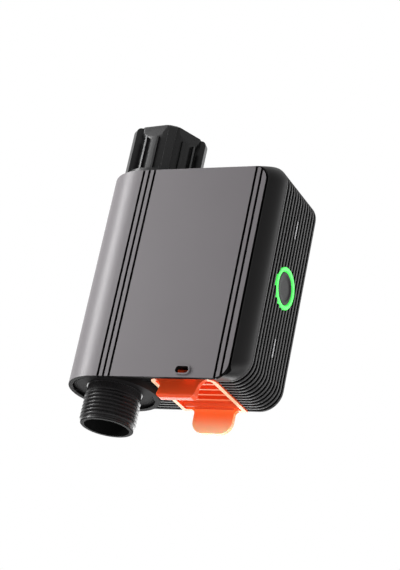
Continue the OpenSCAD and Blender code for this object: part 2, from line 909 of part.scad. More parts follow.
module outlet_spigot()
    color([0.2, 0.19, 0.19])
        rotate_extrude()
            polygon([
                [outlet_bore_r, bot_z - outlet_l],
                [outlet_r - thread_lead, bot_z - outlet_l],
                [outlet_r, bot_z - outlet_l + thread_lead],
                [outlet_r, bot_z - neck_l],
                [neck_r, bot_z - neck_l + thread_lead],
                [neck_r, bot_z + end_step],
                [outlet_r + run, bot_z + end_step],
                [outlet_r + run, end_z],
                [body_r, end_z],
                [body_r, body_bot],
                [meter_r - snug, body_bot],
                [meter_r - snug, body_bot + socket_l],
                [throat_r, body_bot + socket_l],
                [throat_r, bot_z - neck_l],
                [outlet_bore_r, bot_z - neck_l - thread_lead - outlet_bore_r + throat_r]
            ]);

// Ball valve and flow meter

module valve_body()
    color([0.72, 0.6, 0.32])
        difference() {
            rotate_extrude()
                polygon([
                    [meter_r, body_bot],
                    [body_r, body_bot],
                    [body_r, body_top],
                    [plug_r, body_top],
                    [plug_r, ball_z + seat_reach],
                    [chamber_r, ball_z + seat_reach],
                    [chamber_r, ball_z - seat_reach],
                    [seat_r, ball_z - seat_reach],
                    [seat_r, meter_z1 + meter_r - seat_r],
                    [meter_r, meter_z1]
                ]);
            rod_x(bush_r, 0, body_r + 1, 0, ball_z);
        }

module ball_seats()
    color([0.93, 0.93, 0.9])
        difference() {
            for (z = [ball_z - seat_reach, ball_z + ball_r / 2])
                rod_z(chamber_r, z, z + seat_reach - ball_r / 2);
            translate([0, 0, ball_z]) sphere(r = ball_r + run);
            rod_z(seat_r, ball_z - seat_reach - 1, ball_z + seat_reach + 1);
        }

module valve_ball()
    color([0.8, 0.8, 0.82])
        difference() {
            translate([0, 0, ball_z]) sphere(r = ball_r);
            rod_y(ball_bore_r, -ball_r - 1, ball_r + 1, 0, ball_z);
            box([ball_r - tang_d - snug, -ball_r, ball_z - tang_w / 2 - snug],
                [ball_r + 1, ball_r, ball_z + tang_w / 2 + snug]);
        }

module valve_stem()
    color([0.7, 0.7, 0.72]) {
        rod_x(stem_r, ball_r + slip, gear_x + gear_w, 0, ball_z);
        box([ball_r - tang_d, -tang_l / 2, ball_z - tang_w / 2],
            [ball_r + 1, tang_l / 2, ball_z + tang_w / 2]);
    }

module stem_bush()
    color([0.72, 0.6, 0.32])
        difference() {
            union() {
                rod_x(bush_r - run / 2, bush_x0, body_r + 1, 0, ball_z);
                rod_x(bush_head_r, body_r + seam, bush_x1, 0, ball_z);
            }
            rod_x(stem_r + run, 0, bush_x1 + 1, 0, ball_z);
            rod_x(seal_r, seal_x, bush_x1 + 1, 0, ball_z);
        }

module stem_seals()
    color([0.1, 0.1, 0.1])
        for (x = [seal_x, seal_x + seal_t + slip])
            ring_x(stem_r + run, seal_r - run / 2, x, x + seal_t, 0, ball_z);

module flow_turbine()
    color([0.95, 0.95, 0.95])
        difference() {
            intersection() {
                union() {
                    rod_z(hub_r, meter_z - blade_h / 2, meter_z + blade_h / 2);
                    for (i = [0 : blade_count - 1])
                        rotate([0, 0, i * 360 / blade_count])
                            translate([hub_r / 2, 0, meter_z]) rotate([blade_tilt, 0, 0])
                                translate([0, -blade_t / 2, -blade_h]) cube([meter_r, blade_t, 2 * blade_h]);
                }
                rod_z(meter_r - blade_gap, meter_z - blade_h / 2, meter_z + blade_h / 2);
            }
            rod_z(axle_r + run, meter_z - blade_h, meter_z + blade_h);
        }

module turbine_axle()
    color([0.75, 0.75, 0.76])
        rod_z(axle_r, meter_z - spider_gap - spider_t, meter_z + spider_gap + spider_t);

// Rim, hub and three spokes round the axle
module spider_outline()
    difference() {
        union() {
            difference() {
                circle(meter_r - snug);
                circle(meter_r - spider_rim);
            }
            circle(hub_r);
            for (a = [0, 120, 240])
                rotate(a) translate([hub_r - 1, -spoke_w / 2]) square([meter_r - hub_r, spoke_w]);
        }
        circle(axle_r);
    }

module turbine_spiders()
    color([0.9, 0.9, 0.88])
        for (z = [meter_z - spider_gap - spider_t, meter_z + spider_gap])
            translate([0, 0, z]) linear_extrude(spider_t) spider_outline();

// Gear drive

module valve_gear()
    color([0.92, 0.92, 0.88])
        translate([gear_x, 0, ball_z]) rotate([90, 0, 90])
            difference() {
                linear_extrude(gear_w) gear_outline(gear_teeth, drive_turn);
                translate([0, 0, -1]) cylinder(r = stem_r, h = gear_w + 2);
                for (a = [0 : 60 : 300])
                    rotate([0, 0, a]) translate([gear_r * 0.6, 0, -1])
                        cylinder(r = gear_r * 0.16, h = gear_w + 2);
            }

module drive_pinion()
    color([0.85, 0.82, 0.75]) {
        translate([gear_x, pinion_y, pinion_z]) rotate([90, 0, 90])
            linear_extrude(gear_w) gear_outline(pinion_teeth, drive_turn + 180 + 180 / pinion_teeth);
        rod_x(shaft_r, gear_x + gear_w - eps, motor_x + shaft_l, pinion_y, pinion_z);
    }

module gear_motor()
    color([0.7, 0.68, 0.6])
        difference() {
            union() {
                box([motor_x, pinion_y - motor_w / 2, pinion_z - motor_h / 2],
                    [motor_x + gearbox_l, pinion_y + motor_w / 2, pinion_z + motor_h / 2]);
                intersection() {
                    rod_x(motor_w / 2, motor_x + gearbox_l - eps, motor_x + motor_l, pinion_y, pinion_z);
                    box([motor_x, pinion_y - motor_w, pinion_z - motor_h / 2],
                        [motor_x + motor_l, pinion_y + motor_w, pinion_z + motor_h / 2]);
                }
            }
            rod_x(shaft_r + run, motor_x - 1, motor_x + shaft_l + slip, pinion_y, pinion_z);
        }

module motor_bracket()
    color([0.75, 0.75, 0.76])
        difference() {
            union() {
                box([motor_x - plate_t, pinion_y - motor_w / 2, shelf_z],
                    [motor_x, in_y, pinion_z + motor_h / 2]);
                box([motor_x - plate_t, in_y - plate_t, shelf_z],
                    [motor_x + motor_l, in_y, pinion_z + motor_h / 2]);
                box([motor_x - plate_t, pinion_y - motor_w / 2, shelf_z],
                    [motor_x + motor_l, in_y, shelf_z + plate_t]);
            }
            rod_x(shaft_r + eps, motor_x - 2, motor_x + 1, pinion_y, pinion_z);
        }

// Batteries

module battery_tray()
    color([0.2, 0.2, 0.21])
        difference() {
            union() {
                box([tray_x, tray_y, tray_z], [tray_x1, tray_y1, tray_z1]);
                for (x = [tray_x + tray_foot_in, tray_x1 - tray_foot_in],
                        z = [tray_z + tray_foot_in, tray_z1 - tray_foot_in])
                    rod_y(tray_foot_r, tray_y1 - eps, in_y, x, z);
            }
            box([tray_x + tray_wall, tray_y - 1, tray_z + tray_wall],
                [tray_x1 - tray_wall, tray_y1 - tray_wall, tray_z1 - tray_wall]);
        }

module battery_cells()
    color([0.75, 0.68, 0.3])
        for (x = cell_xs, y = cell_ys)
            translate([x, y, cell_z]) {
                cylinder(d = cell_d, h = cell_l - cell_nub_l);
                cylinder(d = cell_nub_d, h = cell_l);
            }

module battery_springs()
    color([0.8, 0.8, 0.8])
        for (x = cell_xs, y = cell_ys)
            translate([x, y, tray_z + tray_wall])
                difference() {
                    cylinder(r1 = spring_r, r2 = spring_r - spring_taper, h = spring_l);
                    translate([0, 0, -eps])
                        cylinder(r1 = spring_r - spring_wire, r2 = spring_r - spring_taper - spring_wire,
                            h = spring_l + 2 * eps);
                }

module battery_contacts()
    color([0.8, 0.8, 0.8])
        for (x = cell_xs)
            box([x - contact_w / 2, cell_ys[0] - contact_w / 2, tray_z1 - tray_wall - contact_t],
                [x + contact_w / 2, cell_ys[1] + contact_w / 2, tray_z1 - tray_wall]);

// Electronics

module main_board()
    color([0.05, 0.35, 0.2]) box([board_x, board_y0, board_z0], [board_x1, board_y1, board_z1]);

module radio_module()
    color([0.7, 0.72, 0.74])
        box([board_x1, button_y - radio_w / 2, board_z1 - radio_h],
            [board_x1 + radio_t, button_y + radio_w / 2, board_z1]);

module tact_switch()
    color([0.12, 0.12, 0.12]) {
        translate([board_x1, button_y - switch_w / 2, mid_z - switch_w / 2])
            cube([switch_l, switch_w, switch_w]);
        rod_x(plunger_r, board_x1 + switch_l - eps, board_x1 + switch_l + slip, button_y, mid_z);
    }

module status_leds()
    color([0.95, 0.95, 0.9])
        for (a = [45 : 90 : 315])
            translate([board_x1, button_y + ring_r * cos(a) - led_w / 2, mid_z + ring_r * sin(a) - led_w / 2])
                cube([led_t, led_w, led_w]);

// Inner lid

module inner_lid()
    color([0.2, 0.2, 0.21])
        difference() {
            upright(lid_y, lid_y + lid_t)
                outline(bay_x + slip, lid_z0, mouth_x1 - slip, mouth_z1 - slip, 1);
            for (x = lid_xs, z = lid_zs)
                rod_y(screw_r + slip, lid_y - 1, lid_y + lid_t + 1, x, z);
        }

module lid_screws()
    color([0.6, 0.6, 0.62])
        for (x = lid_xs, z = lid_zs) {
            rod_y(screw_r, lid_y - eps, lid_y + lid_t + screw_bite, x, z);
            rod_y(screw_head_r, lid_y - screw_head_t, lid_y, x, z);
        }

rear_housing();
outlet_cap();
inlet_cap();
valve_body();
inlet_tail();
inlet_washer();
inlet_filter();
outlet_spigot();
ball_seats();
stem_bush();
stem_seals();
turbine_axle();
turbine_spiders();
gear_motor();
motor_bracket();
battery_tray();
battery_cells();
battery_springs();
battery_contacts();
main_board();
radio_module();
tact_switch();
status_leds();
light_ring();
rib_inlays();
inner_lid();
lid_screws();
cover_gasket();
latch_pin();
front_cover();
latch_lever();
button_cap();
inlet_nut();
flow_turbine();
valve_ball();
valve_stem();
valve_gear();
drive_pinion();
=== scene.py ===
import json
import math
import bmesh
import bpy
from mathutils import Matrix, Vector


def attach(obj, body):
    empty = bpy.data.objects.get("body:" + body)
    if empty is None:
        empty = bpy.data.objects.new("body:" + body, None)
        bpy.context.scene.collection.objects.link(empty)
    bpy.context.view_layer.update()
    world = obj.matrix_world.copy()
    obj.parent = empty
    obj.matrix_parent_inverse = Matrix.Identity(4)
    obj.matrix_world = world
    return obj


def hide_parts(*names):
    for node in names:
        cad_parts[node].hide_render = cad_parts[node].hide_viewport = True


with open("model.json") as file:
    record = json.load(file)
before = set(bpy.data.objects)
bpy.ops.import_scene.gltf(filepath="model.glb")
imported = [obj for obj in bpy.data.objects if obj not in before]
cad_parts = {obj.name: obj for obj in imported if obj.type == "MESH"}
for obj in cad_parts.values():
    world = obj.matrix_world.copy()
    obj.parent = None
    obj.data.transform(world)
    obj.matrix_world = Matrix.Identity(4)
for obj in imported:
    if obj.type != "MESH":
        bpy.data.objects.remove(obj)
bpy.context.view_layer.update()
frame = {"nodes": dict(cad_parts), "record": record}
nodes = frame["nodes"]
scene = bpy.context.scene
scene.view_settings.view_transform = "Standard"
print("frame loaded:", len(nodes), "nodes")


# mesh tools, all in millimetres until a piece is made

meshSpec = {"merge": 0.0005, "flatAngle": 0.4, "sharp": 38, "edgeSegments": 3, "unit": 0.001}
past = 1.0  # how far a cutting tool reaches past what it cuts
facing = 0.9  # share of its normal from which a face counts as turned to a side


def prism(corners, push, radii=(), segments=8):
    bm = bmesh.new()
    verts = [bm.verts.new(corner) for corner in corners]
    bm.faces.new(verts)
    for vert, radius in zip(verts, radii):
        if radius:
            bmesh.ops.bevel(bm, geom=[vert], offset=radius, affect="VERTICES", segments=segments,
                            profile=0.5, material=-1)
    made = bmesh.ops.extrude_face_region(bm, geom=bm.faces[:])
    pushed = [part for part in made["geom"] if isinstance(part, bmesh.types.BMVert)]
    bmesh.ops.translate(bm, vec=push, verts=pushed)
    bmesh.ops.recalc_face_normals(bm, faces=bm.faces)
    return bm


def plateXZ(x0, z0, x1, z1, y0, y1, radii=(), segments=8):
    corners = [(x0, y0, z0), (x1, y0, z0), (x1, y0, z1), (x0, y0, z1)]
    return prism(corners, (0, y1 - y0, 0), radii, segments)


def plateXY(x0, y0, x1, y1, z0, z1, radii=(), segments=8):
    corners = [(x0, y0, z0), (x1, y0, z0), (x1, y1, z0), (x0, y1, z0)]
    return prism(corners, (0, 0, z1 - z0), radii, segments)


def turned(profile, steps=96):
    bm = bmesh.new()
    verts = [bm.verts.new((radius, 0, z)) for radius, z in profile]
    edges = [bm.edges.new((verts[i - 1], verts[i])) for i in range(len(verts))]
    bmesh.ops.spin(bm, geom=verts + edges, cent=(0, 0, 0), axis=(0, 0, 1), angle=math.tau,
                   steps=steps, use_merge=True)
    bmesh.ops.remove_doubles(bm, verts=bm.verts, dist=meshSpec["merge"])
    bmesh.ops.recalc_face_normals(bm, faces=bm.faces)
    return bm


def rod(radius, start, end, steps=64):
    axis = Vector(end) - Vector(start)
    bm = bmesh.new()
    bmesh.ops.create_cone(bm, cap_ends=True, segments=steps, radius1=radius, radius2=radius,
                          depth=axis.length)
    along = axis.to_track_quat("Z", "Y").to_matrix().to_4x4()
    return moved(bm, Matrix.Translation((Vector(start) + Vector(end)) / 2) @ along)


def moved(bm, matrix):
    bmesh.ops.transform(bm, matrix=matrix, verts=bm.verts)
    return bm


def rolled(bm, faces, turn, steps):  # carries faces round the pipe's axis
    geom = faces + [part for face in faces for part in list(face.verts) + list(face.edges)]
    bmesh.ops.spin(bm, geom=geom, cent=(0, 0, 0), axis=(0, 0, 1), angle=math.radians(turn), steps=steps)
    bmesh.ops.recalc_face_normals(bm, faces=bm.faces)


def meshOf(bm, name):
    mesh = bpy.data.meshes.new(name)
    bm.to_mesh(mesh)
    bm.free()
    return mesh


def joined(*parts):
    whole = bmesh.new()
    for part in parts:
        mesh = meshOf(part, "joined")
        whole.from_mesh(mesh)
        bpy.data.meshes.remove(mesh)
    return whole


def carved(bm, tool, operation="DIFFERENCE"):
    pair = [bpy.data.objects.new("carved", meshOf(part, "carved")) for part in (bm, tool)]
    for part in pair:
        scene.collection.objects.link(part)
    cut = pair[0].modifiers.new("cut", "BOOLEAN")
    cut.solver = "EXACT"
    cut.operation = operation
    cut.object = pair[1]
    bpy.context.view_layer.update()
    done = pair[0].evaluated_get(bpy.context.evaluated_depsgraph_get())
    result = bmesh.new()
    result.from_mesh(done.to_mesh())
    done.to_mesh_clear()
    for part in pair:
        bpy.data.meshes.remove(part.data)
    bmesh.ops.remove_doubles(result, verts=result.verts, dist=meshSpec["merge"])
    bmesh.ops.dissolve_limit(result, angle_limit=math.radians(meshSpec["flatAngle"]), verts=result.verts,
                             edges=result.edges)
    return result


def makePiece(name, bm, material, body, replaced, edge=0.0, accents=()):
    sharp = math.radians(meshSpec["sharp"])
    bm.normal_update()
    for index, (accent, belongs) in enumerate(accents, 1):
        for face in bm.faces:
            if belongs(face.calc_center_median(), face.normal):
                face.material_index = index
    bmesh.ops.scale(bm, vec=[meshSpec["unit"]] * 3, verts=bm.verts)
    for face in bm.faces:
        face.smooth = True
    mesh = meshOf(bm, name)
    mesh.set_sharp_from_angle(angle=sharp)
    for kept in [material] + [accent for accent, belongs in accents]:
        mesh.materials.append(kept)
    piece = bpy.data.objects.new(name, mesh)
    scene.collection.objects.link(piece)
    if edge:
        soft = piece.modifiers.new("soft edges", "BEVEL")
        soft.limit_method = "ANGLE"
        soft.angle_limit = sharp
        soft.width = edge * meshSpec["unit"]
        soft.segments = meshSpec["edgeSegments"]
        soft.use_clamp_overlap = True
        soft.miter_outer = "MITER_ARC"
        level = piece.modifiers.new("level faces", "WEIGHTED_NORMAL")
        level.keep_sharp = True
    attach(piece, body)
    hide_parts(*replaced)
    print("piece", name, len(mesh.polygons), "faces")


# materials

def startMaterial(name):
    material = bpy.data.materials.new(name)
    material.use_nodes = True
    tree = material.node_tree
    place = tree.nodes.new("ShaderNodeTexCoord").outputs["Object"]
    return material, tree, tree.nodes["Principled BSDF"], place


def shade(color, factor):
    return tuple(min(1.0, part * factor) for part in color[:3]) + (1.0,)


def setInputs(node, values):
    for name, value in values.items():
        node.inputs[name].default_value = value


def noise(tree, place, scale, detail=2.0):
    pattern = tree.nodes.new("ShaderNodeTexNoise")
    setInputs(pattern, {"Scale": scale, "Detail": detail})
    tree.links.new(place, pattern.inputs["Vector"])
    return pattern.outputs["Fac"]


def toneRamp(tree, value, spread, tones):
    ramp = tree.nodes.new("ShaderNodeValToRGB")
    for index in (0, 1):
        ramp.color_ramp.elements[index].position = spread[index]
        ramp.color_ramp.elements[index].color = tones[index]
    tree.links.new(value, ramp.inputs["Fac"])
    return ramp.outputs["Color"]


# painted light: paler towards the tab's low end, standing in for light shining through the thin moulding
def paintedLightTone(tree, place, color, paintedLightFade):
    low, high, pale = paintedLightFade
    parts = tree.nodes.new("ShaderNodeSeparateXYZ")
    reach = tree.nodes.new("ShaderNodeMapRange")
    reach.interpolation_type = "SMOOTHSTEP"
    setInputs(reach, {"From Min": high, "From Max": low})
    paintedPaler = tree.nodes.new("ShaderNodeMixRGB")
    setInputs(paintedPaler, {"Color2": pale + (1.0,)})
    tree.links.new(place, parts.inputs["Vector"])
    tree.links.new(parts.outputs["Z"], reach.inputs["Value"])
    tree.links.new(reach.outputs["Result"], paintedPaler.inputs["Fac"])
    tree.links.new(color, paintedPaler.inputs["Color1"])
    return paintedPaler.outputs["Color"]


def setGloss(tree, shader, value, spread, low, high):
    gloss = tree.nodes.new("ShaderNodeMapRange")
    setInputs(gloss, {"From Min": spread[0], "From Max": spread[1], "To Min": low, "To Max": high})
    tree.links.new(value, gloss.inputs["Value"])
    tree.links.new(gloss.outputs["Result"], shader.inputs["Roughness"])


def setRelief(tree, shader, height, strength, deep):
    relief = tree.nodes.new("ShaderNodeBump")
    setInputs(relief, {"Strength": strength, "Distance": deep})
    tree.links.new(height, relief.inputs["Height"])
    tree.links.new(relief.outputs["Normal"], shader.inputs["Normal"])


plasticBase = {
    "grainDetail": 3.0, "spread": (0.3, 0.7), "reliefDeep": 0.0001,
    "throughRadius": (1.0, 0.35, 0.15), "throughScale": 0.003,
}
plainLook = {"roughSpread": 0.05, "grain": 2400, "cloud": 40, "mottle": 0.06, "relief": 0.1, "specular": 0.5}


def mouldedPlastic(name, ownLook, base=plasticBase):
    look = {**plainLook, **ownLook}
    material, tree, shader, place = startMaterial(name)
    grain = noise(tree, place, look["grain"], base["grainDetail"])  # fine grain of the mould
    cloud = noise(tree, place, look["cloud"])  # slow change in tone
    tones = [shade(look["color"], 1 + side * look["mottle"]) for side in (-1, 1)]
    color = toneRamp(tree, cloud, base["spread"], tones)
    if "paintedLightFade" in look:
        color = paintedLightTone(tree, place, color, look["paintedLightFade"])
        # painted glow: the paled colour is also given out as light
        tree.links.new(color, shader.inputs["Emission Color"])
        setInputs(shader, {"Emission Strength": look["paintedGlowLevel"]})
    tree.links.new(color, shader.inputs["Base Color"])
    setGloss(tree, shader, grain, base["spread"], look["rough"] - look["roughSpread"],
             look["rough"] + look["roughSpread"])
    setRelief(tree, shader, grain, look["relief"], base["reliefDeep"])
    setInputs(shader, {"Specular IOR Level": look["specular"]})
    if "glow" in look:
        setInputs(shader, {"Emission Color": look["glow"] + (1.0,), "Emission Strength": look["glowLevel"]})
    if "through" in look:
        setInputs(shader, {"Subsurface Weight": look["through"], "Subsurface Radius": base["throughRadius"],
                           "Subsurface Scale": base["throughScale"]})
    return material


metalBase = {
    "markDetail": 4.0, "spread": (0.3, 0.7), "roughTimes": (0.75, 1.3), "reliefDeep": 0.00005,
    "stain": 90.0, "stainDetail": 3.0, "stainSpread": (0.35, 0.65), "stainTones": (0.86, 1.06),
}


def workedMetal(name, look, base=metalBase):
    material, tree, shader, place = startMaterial(name)
    turn = tree.nodes.new("ShaderNodeMapping")  # stretches the marks along the tool's way
    setInputs(turn, {"Scale": look["stretch"]})
    tree.links.new(place, turn.inputs["Vector"])
    marks = noise(tree, turn.outputs["Vector"], look["marks"], base["markDetail"])
    stain = noise(tree, place, base["stain"], base["stainDetail"])
    tones = [shade(look["color"], times) for times in base["stainTones"]]
    tree.links.new(toneRamp(tree, stain, base["stainSpread"], tones), shader.inputs["Base Color"])
    low, high = base["roughTimes"]
    setGloss(tree, shader, marks, base["spread"], look["rough"] * low, look["rough"] * high)
    setRelief(tree, shader, marks, look["relief"], base["reliefDeep"])
    setInputs(shader, {"Metallic": 1.0})
    return material


boardLook = {
    "mask": (0.012, 0.09, 0.035), "track": (0.03, 0.2, 0.07), "spacing": 420, "random": 0.55, "trackWide": 0.05,
    "trackFade": 1.6, "film": 300.0, "rough": 0.32, "roughTimes": (0.7, 1.4), "relief": 0.4, "reliefDeep": 0.00004,
}


def solderMask(name, look):
    material, tree, shader, place = startMaterial(name)
    cells = tree.nodes.new("ShaderNodeTexVoronoi")  # tracks run between the cells
    cells.feature = "DISTANCE_TO_EDGE"
    setInputs(cells, {"Scale": look["spacing"], "Randomness": look["random"]})
    tree.links.new(place, cells.inputs["Vector"])
    spread = (look["trackWide"], look["trackWide"] * look["trackFade"])
    tones = (look["track"] + (1.0,), look["mask"] + (1.0,))
    color = toneRamp(tree, cells.outputs["Distance"], spread, tones)
    tree.links.new(color, shader.inputs["Base Color"])
    film = noise(tree, place, look["film"])
    low, high = look["roughTimes"]
    setGloss(tree, shader, film, (0.0, 1.0), look["rough"] * low, look["rough"] * high)
    setRelief(tree, shader, color, look["relief"], look["reliefDeep"])
    return material


plasticLooks = {
    "panelGrey": {"color": (0.128, 0.1175, 0.125), "rough": 0.38, "grain": 2600, "cloud": 22, "mottle": 0.025,
                  "relief": 0.16, "specular": 0.35},
    # painted shade: near black for deep grooves, the window's opening and the gap at the panel's edge
    "paintedShadeBlack": {"color": (0.004, 0.004, 0.004), "rough": 0.7, "roughSpread": 0.08, "mottle": 0.1,
                    "specular": 0.02},
    "shellDark": {"color": (0.0072, 0.0068, 0.007), "rough": 0.45, "cloud": 25, "relief": 0.14,
                  "specular": 0.12},
    # painted highlight: a lighter copy of the shell for the rib crests
    "ribCrestPaintedLight": {"color": (0.022, 0.0212, 0.0217), "rough": 0.45, "cloud": 25, "relief": 0.14,
                "specular": 0.16},
    # the ends' own dark finish, also laid on the cover's underside as painted shade
    "endDarkAndPaintedShade": {"color": (0.009, 0.0085, 0.0088), "rough": 0.6, "cloud": 30, "relief": 0.14,
                "specular": 0.03},
    "threadDark": {"color": (0.014, 0.0132, 0.0137), "rough": 0.28, "grain": 2200, "specular": 0.2},
    # painted shade: near black for the outlet's bore and its mouth
    "borePaintedShade": {"color": (0.003, 0.003, 0.003), "rough": 0.6, "roughSpread": 0.06, "grain": 2200,
                  "specular": 0.04},
    "nutBlack": {"color": (0.019, 0.019, 0.0194), "rough": 0.3, "roughSpread": 0.06, "grain": 1800,
                 "mottle": 0.08, "relief": 0.2, "specular": 0.22},
    "latchOrange": {"color": (0.85, 0.085, 0.018), "rough": 0.38, "roughSpread": 0.04, "mottle": 0.03,
                    "relief": 0.06, "specular": 0.2, "through": 0.2},
    # painted light on the tab: paler towards its end, with a painted glow
    "latchTab": {"color": (1.0, 0.2, 0.05), "rough": 0.38, "roughSpread": 0.04, "mottle": 0.03, "relief": 0.06,
                 "specular": 0.15, "through": 0.8, "paintedLightFade": (-0.1325, -0.1215, (1.0, 0.72, 0.44)), "paintedGlowLevel": 0.22},
    # painted light: a paler orange for the rim's underside, as if lit from below
    "latchRimPaintedLight": {"color": (1.0, 0.62, 0.38), "rough": 0.4, "roughSpread": 0.04, "mottle": 0.03,
                  "relief": 0.06, "specular": 0.2},
    # painted light: a brighter orange for the bars' undersides, as if lit from below
    "latchBarPaintedLight": {"color": (1.0, 0.26, 0.12), "rough": 0.4, "roughSpread": 0.04, "mottle": 0.03,
                    "relief": 0.06, "specular": 0.2},
    "ringGreen": {"color": (0.07, 0.9, 0.11), "rough": 0.35, "roughSpread": 0.04, "grain": 2000, "cloud": 60,
                  "mottle": 0.03, "relief": 0.05, "specular": 0.12, "glow": (0.1, 1.0, 0.14), "glowLevel": 0.8},
    "capGrey": {"color": (0.013, 0.012, 0.0135), "rough": 0.48, "grain": 2600, "cloud": 50, "mottle": 0.05,
                "relief": 0.14, "specular": 0.12},
    "inlayPale": {"color": (0.38, 0.38, 0.39), "rough": 0.45, "roughSpread": 0.04, "cloud": 60, "mottle": 0.03},
    "bodyPlastic": {"color": (0.06, 0.06, 0.065), "rough": 0.55, "roughSpread": 0.08, "grain": 1500,
                    "cloud": 45, "mottle": 0.1, "relief": 0.3},
    "innerPlastic": {"color": (0.035, 0.035, 0.037), "rough": 0.5, "roughSpread": 0.06, "grain": 2000,
                     "cloud": 35, "mottle": 0.07, "relief": 0.2},
    "whitePlastic": {"color": (0.8, 0.8, 0.77), "rough": 0.42, "grain": 2000, "cloud": 60, "mottle": 0.03},
    "rubberBlack": {"color": (0.016, 0.016, 0.016), "rough": 0.75, "roughSpread": 0.1, "grain": 1600,
                    "cloud": 70, "mottle": 0.15, "relief": 0.35},
    "switchBlack": {"color": (0.014, 0.014, 0.014), "rough": 0.4, "grain": 2200, "cloud": 60, "mottle": 0.08},
    "cellSleeve": {"color": (0.05, 0.1, 0.16), "rough": 0.3, "roughSpread": 0.04, "grain": 1500, "cloud": 60,
                   "relief": 0.03},
    "cellBand": {"color": (0.62, 0.63, 0.65), "rough": 0.32, "grain": 700, "cloud": 60, "mottle": 0.04,
                 "relief": 0.08},
}
metalLooks = {
    "brass": {"color": (0.6, 0.42, 0.16), "rough": 0.28, "marks": 900, "stretch": (1, 1, 6), "relief": 0.15},
    "steel": {"color": (0.58, 0.58, 0.6), "rough": 0.3, "marks": 1100, "stretch": (1, 5, 1), "relief": 0.12},
    "ballChrome": {"color": (0.7, 0.7, 0.72), "rough": 0.09, "marks": 700, "stretch": (1, 1, 1),
                   "relief": 0.03},
    "motorMetal": {"color": (0.52, 0.5, 0.45), "rough": 0.34, "marks": 900, "stretch": (0.2, 1, 1),
                   "relief": 0.12},
    "shieldMetal": {"color": (0.6, 0.61, 0.62), "rough": 0.4, "marks": 1000, "stretch": (1, 1, 0.2),
                    "relief": 0.1},
}

finish = {name: mouldedPlastic(name, look) for name, look in plasticLooks.items()}
finish.update({name: workedMetal(name, look) for name, look in metalLooks.items()})
finish["boardGreen"] = solderMask("boardGreen", boardLook)
print("materials:", len(finish))


# front cover: grooved panel rolled round the pipe at its left end

coverSpec = {
    "right": 67.6, "front": -21.75, "thick": 2.0, "bottom": -122.2, "top": -15.7,
    "corner": 7.5, "cornerSteps": 16, "rollTurn": -89.2, "rollSteps": 40, "rollStart": 0.001,
    "grooves": (2.4, 5.3, 8.2, 61.8, 64.7), "grooveWide": 1.1, "grooveDeep": 1.25, "grooveSlack": 0.02,
    "windowX": 45.3, "windowZ": -118.6, "windowWide": 6.5, "windowHigh": 3.2, "windowRim": 0.7,
    "windowRoot": 0.5, "windowFlat": 0.2, "windowSteps": 10, "windowSlack": 0.05,
    "tongueX": (63.5, 64.5), "tongueY": (-20.2, -16.45), "tongueZ": ((-104.1, -92.1), (-69.1, -57.1)),
    "edge": 0.3, "edgeFacing": 0.3, "endSlack": 0.1,
}


def makeCover(spec):
    front, back = spec["front"], spec["front"] + spec["thick"]
    low, top, corner = spec["bottom"], spec["top"], spec["corner"]
    bm = plateXZ(0, low, spec["right"], top, front, back, (0, corner, corner, 0), spec["cornerSteps"])
    leftEnd = [face for face in bm.faces if all(abs(vert.co.x) < spec["rollStart"] for vert in face.verts)]
    rolled(bm, leftEnd, spec["rollTurn"], spec["rollSteps"])
    half = spec["grooveWide"] / 2
    cuts = [plateXY(x - half, front - past, x + half, front + spec["grooveDeep"], low - past, top + past)
            for x in spec["grooves"]]
    bm = carved(bm, joined(*cuts))
    wide, high, rim = spec["windowWide"] / 2, spec["windowHigh"] / 2, spec["windowRim"]
    x, z, endR = spec["windowX"], spec["windowZ"], high - spec["windowFlat"]
    outer = plateXZ(x - wide - rim, z - high - rim, x + wide + rim, z + high + rim, front - rim,
                    front + spec["windowRoot"], [endR + rim] * 4, spec["windowSteps"])
    bm = carved(bm, outer, "UNION")
    opening = plateXZ(x - wide, z - high, x + wide, z + high, front - 2 * past, back + past, [endR] * 4,
                      spec["windowSteps"])
    bm = carved(bm, opening)
    (x0, x1), (y0, y1) = spec["tongueX"], spec["tongueY"]
    tongues = [plateXY(x0, y0, x1, y1, z0, z1) for z0, z1 in spec["tongueZ"]]
    return carved(bm, joined(*tongues), "UNION")


# the grooves' walls and floors, which get painted shade
def inGroove(center, normal, spec=coverSpec):
    slack = spec["grooveSlack"]
    aside = min(abs(center.x - x) for x in spec["grooves"])
    sunk = slack < center.y - spec["front"] < spec["grooveDeep"] + slack
    return sunk and aside < spec["grooveWide"] / 2 + slack


# the window opening's walls, which get painted shade
def inWindow(center, normal, spec=coverSpec):
    slack = spec["windowSlack"]
    inWide = abs(center.x - spec["windowX"]) < spec["windowWide"] / 2 + slack
    inHigh = abs(center.z - spec["windowZ"]) < spec["windowHigh"] / 2 + slack
    return inWide and inHigh and center.y > spec["front"] - spec["windowRim"] / 2


# the panel's right side, which gets a painted shadow for the gap beside the flare
def onRightEdge(center, normal, spec=coverSpec):
    outwards = normal.x > spec["edgeFacing"] and abs(normal.y) < spec["edgeFacing"]
    return outwards and center.x > spec["right"] - spec["corner"]


# the cover's underside, which gets painted shade
def onBottomEdge(center, normal, spec=coverSpec):
    return normal.z < -facing and center.z < spec["bottom"] + spec["endSlack"]


# painted shade on the grooves, the window's opening and the right edge
makePiece("panelCover", makeCover(coverSpec), finish["panelGrey"], "cover", ["front_cover"],
          edge=coverSpec["edge"],
          accents=[(finish["paintedShadeBlack"], inGroove), (finish["paintedShadeBlack"], inWindow),
                   (finish["paintedShadeBlack"], onRightEdge), (finish["endDarkAndPaintedShade"], onBottomEdge)])


# ribbed housing with its flare and the pipe sleeve

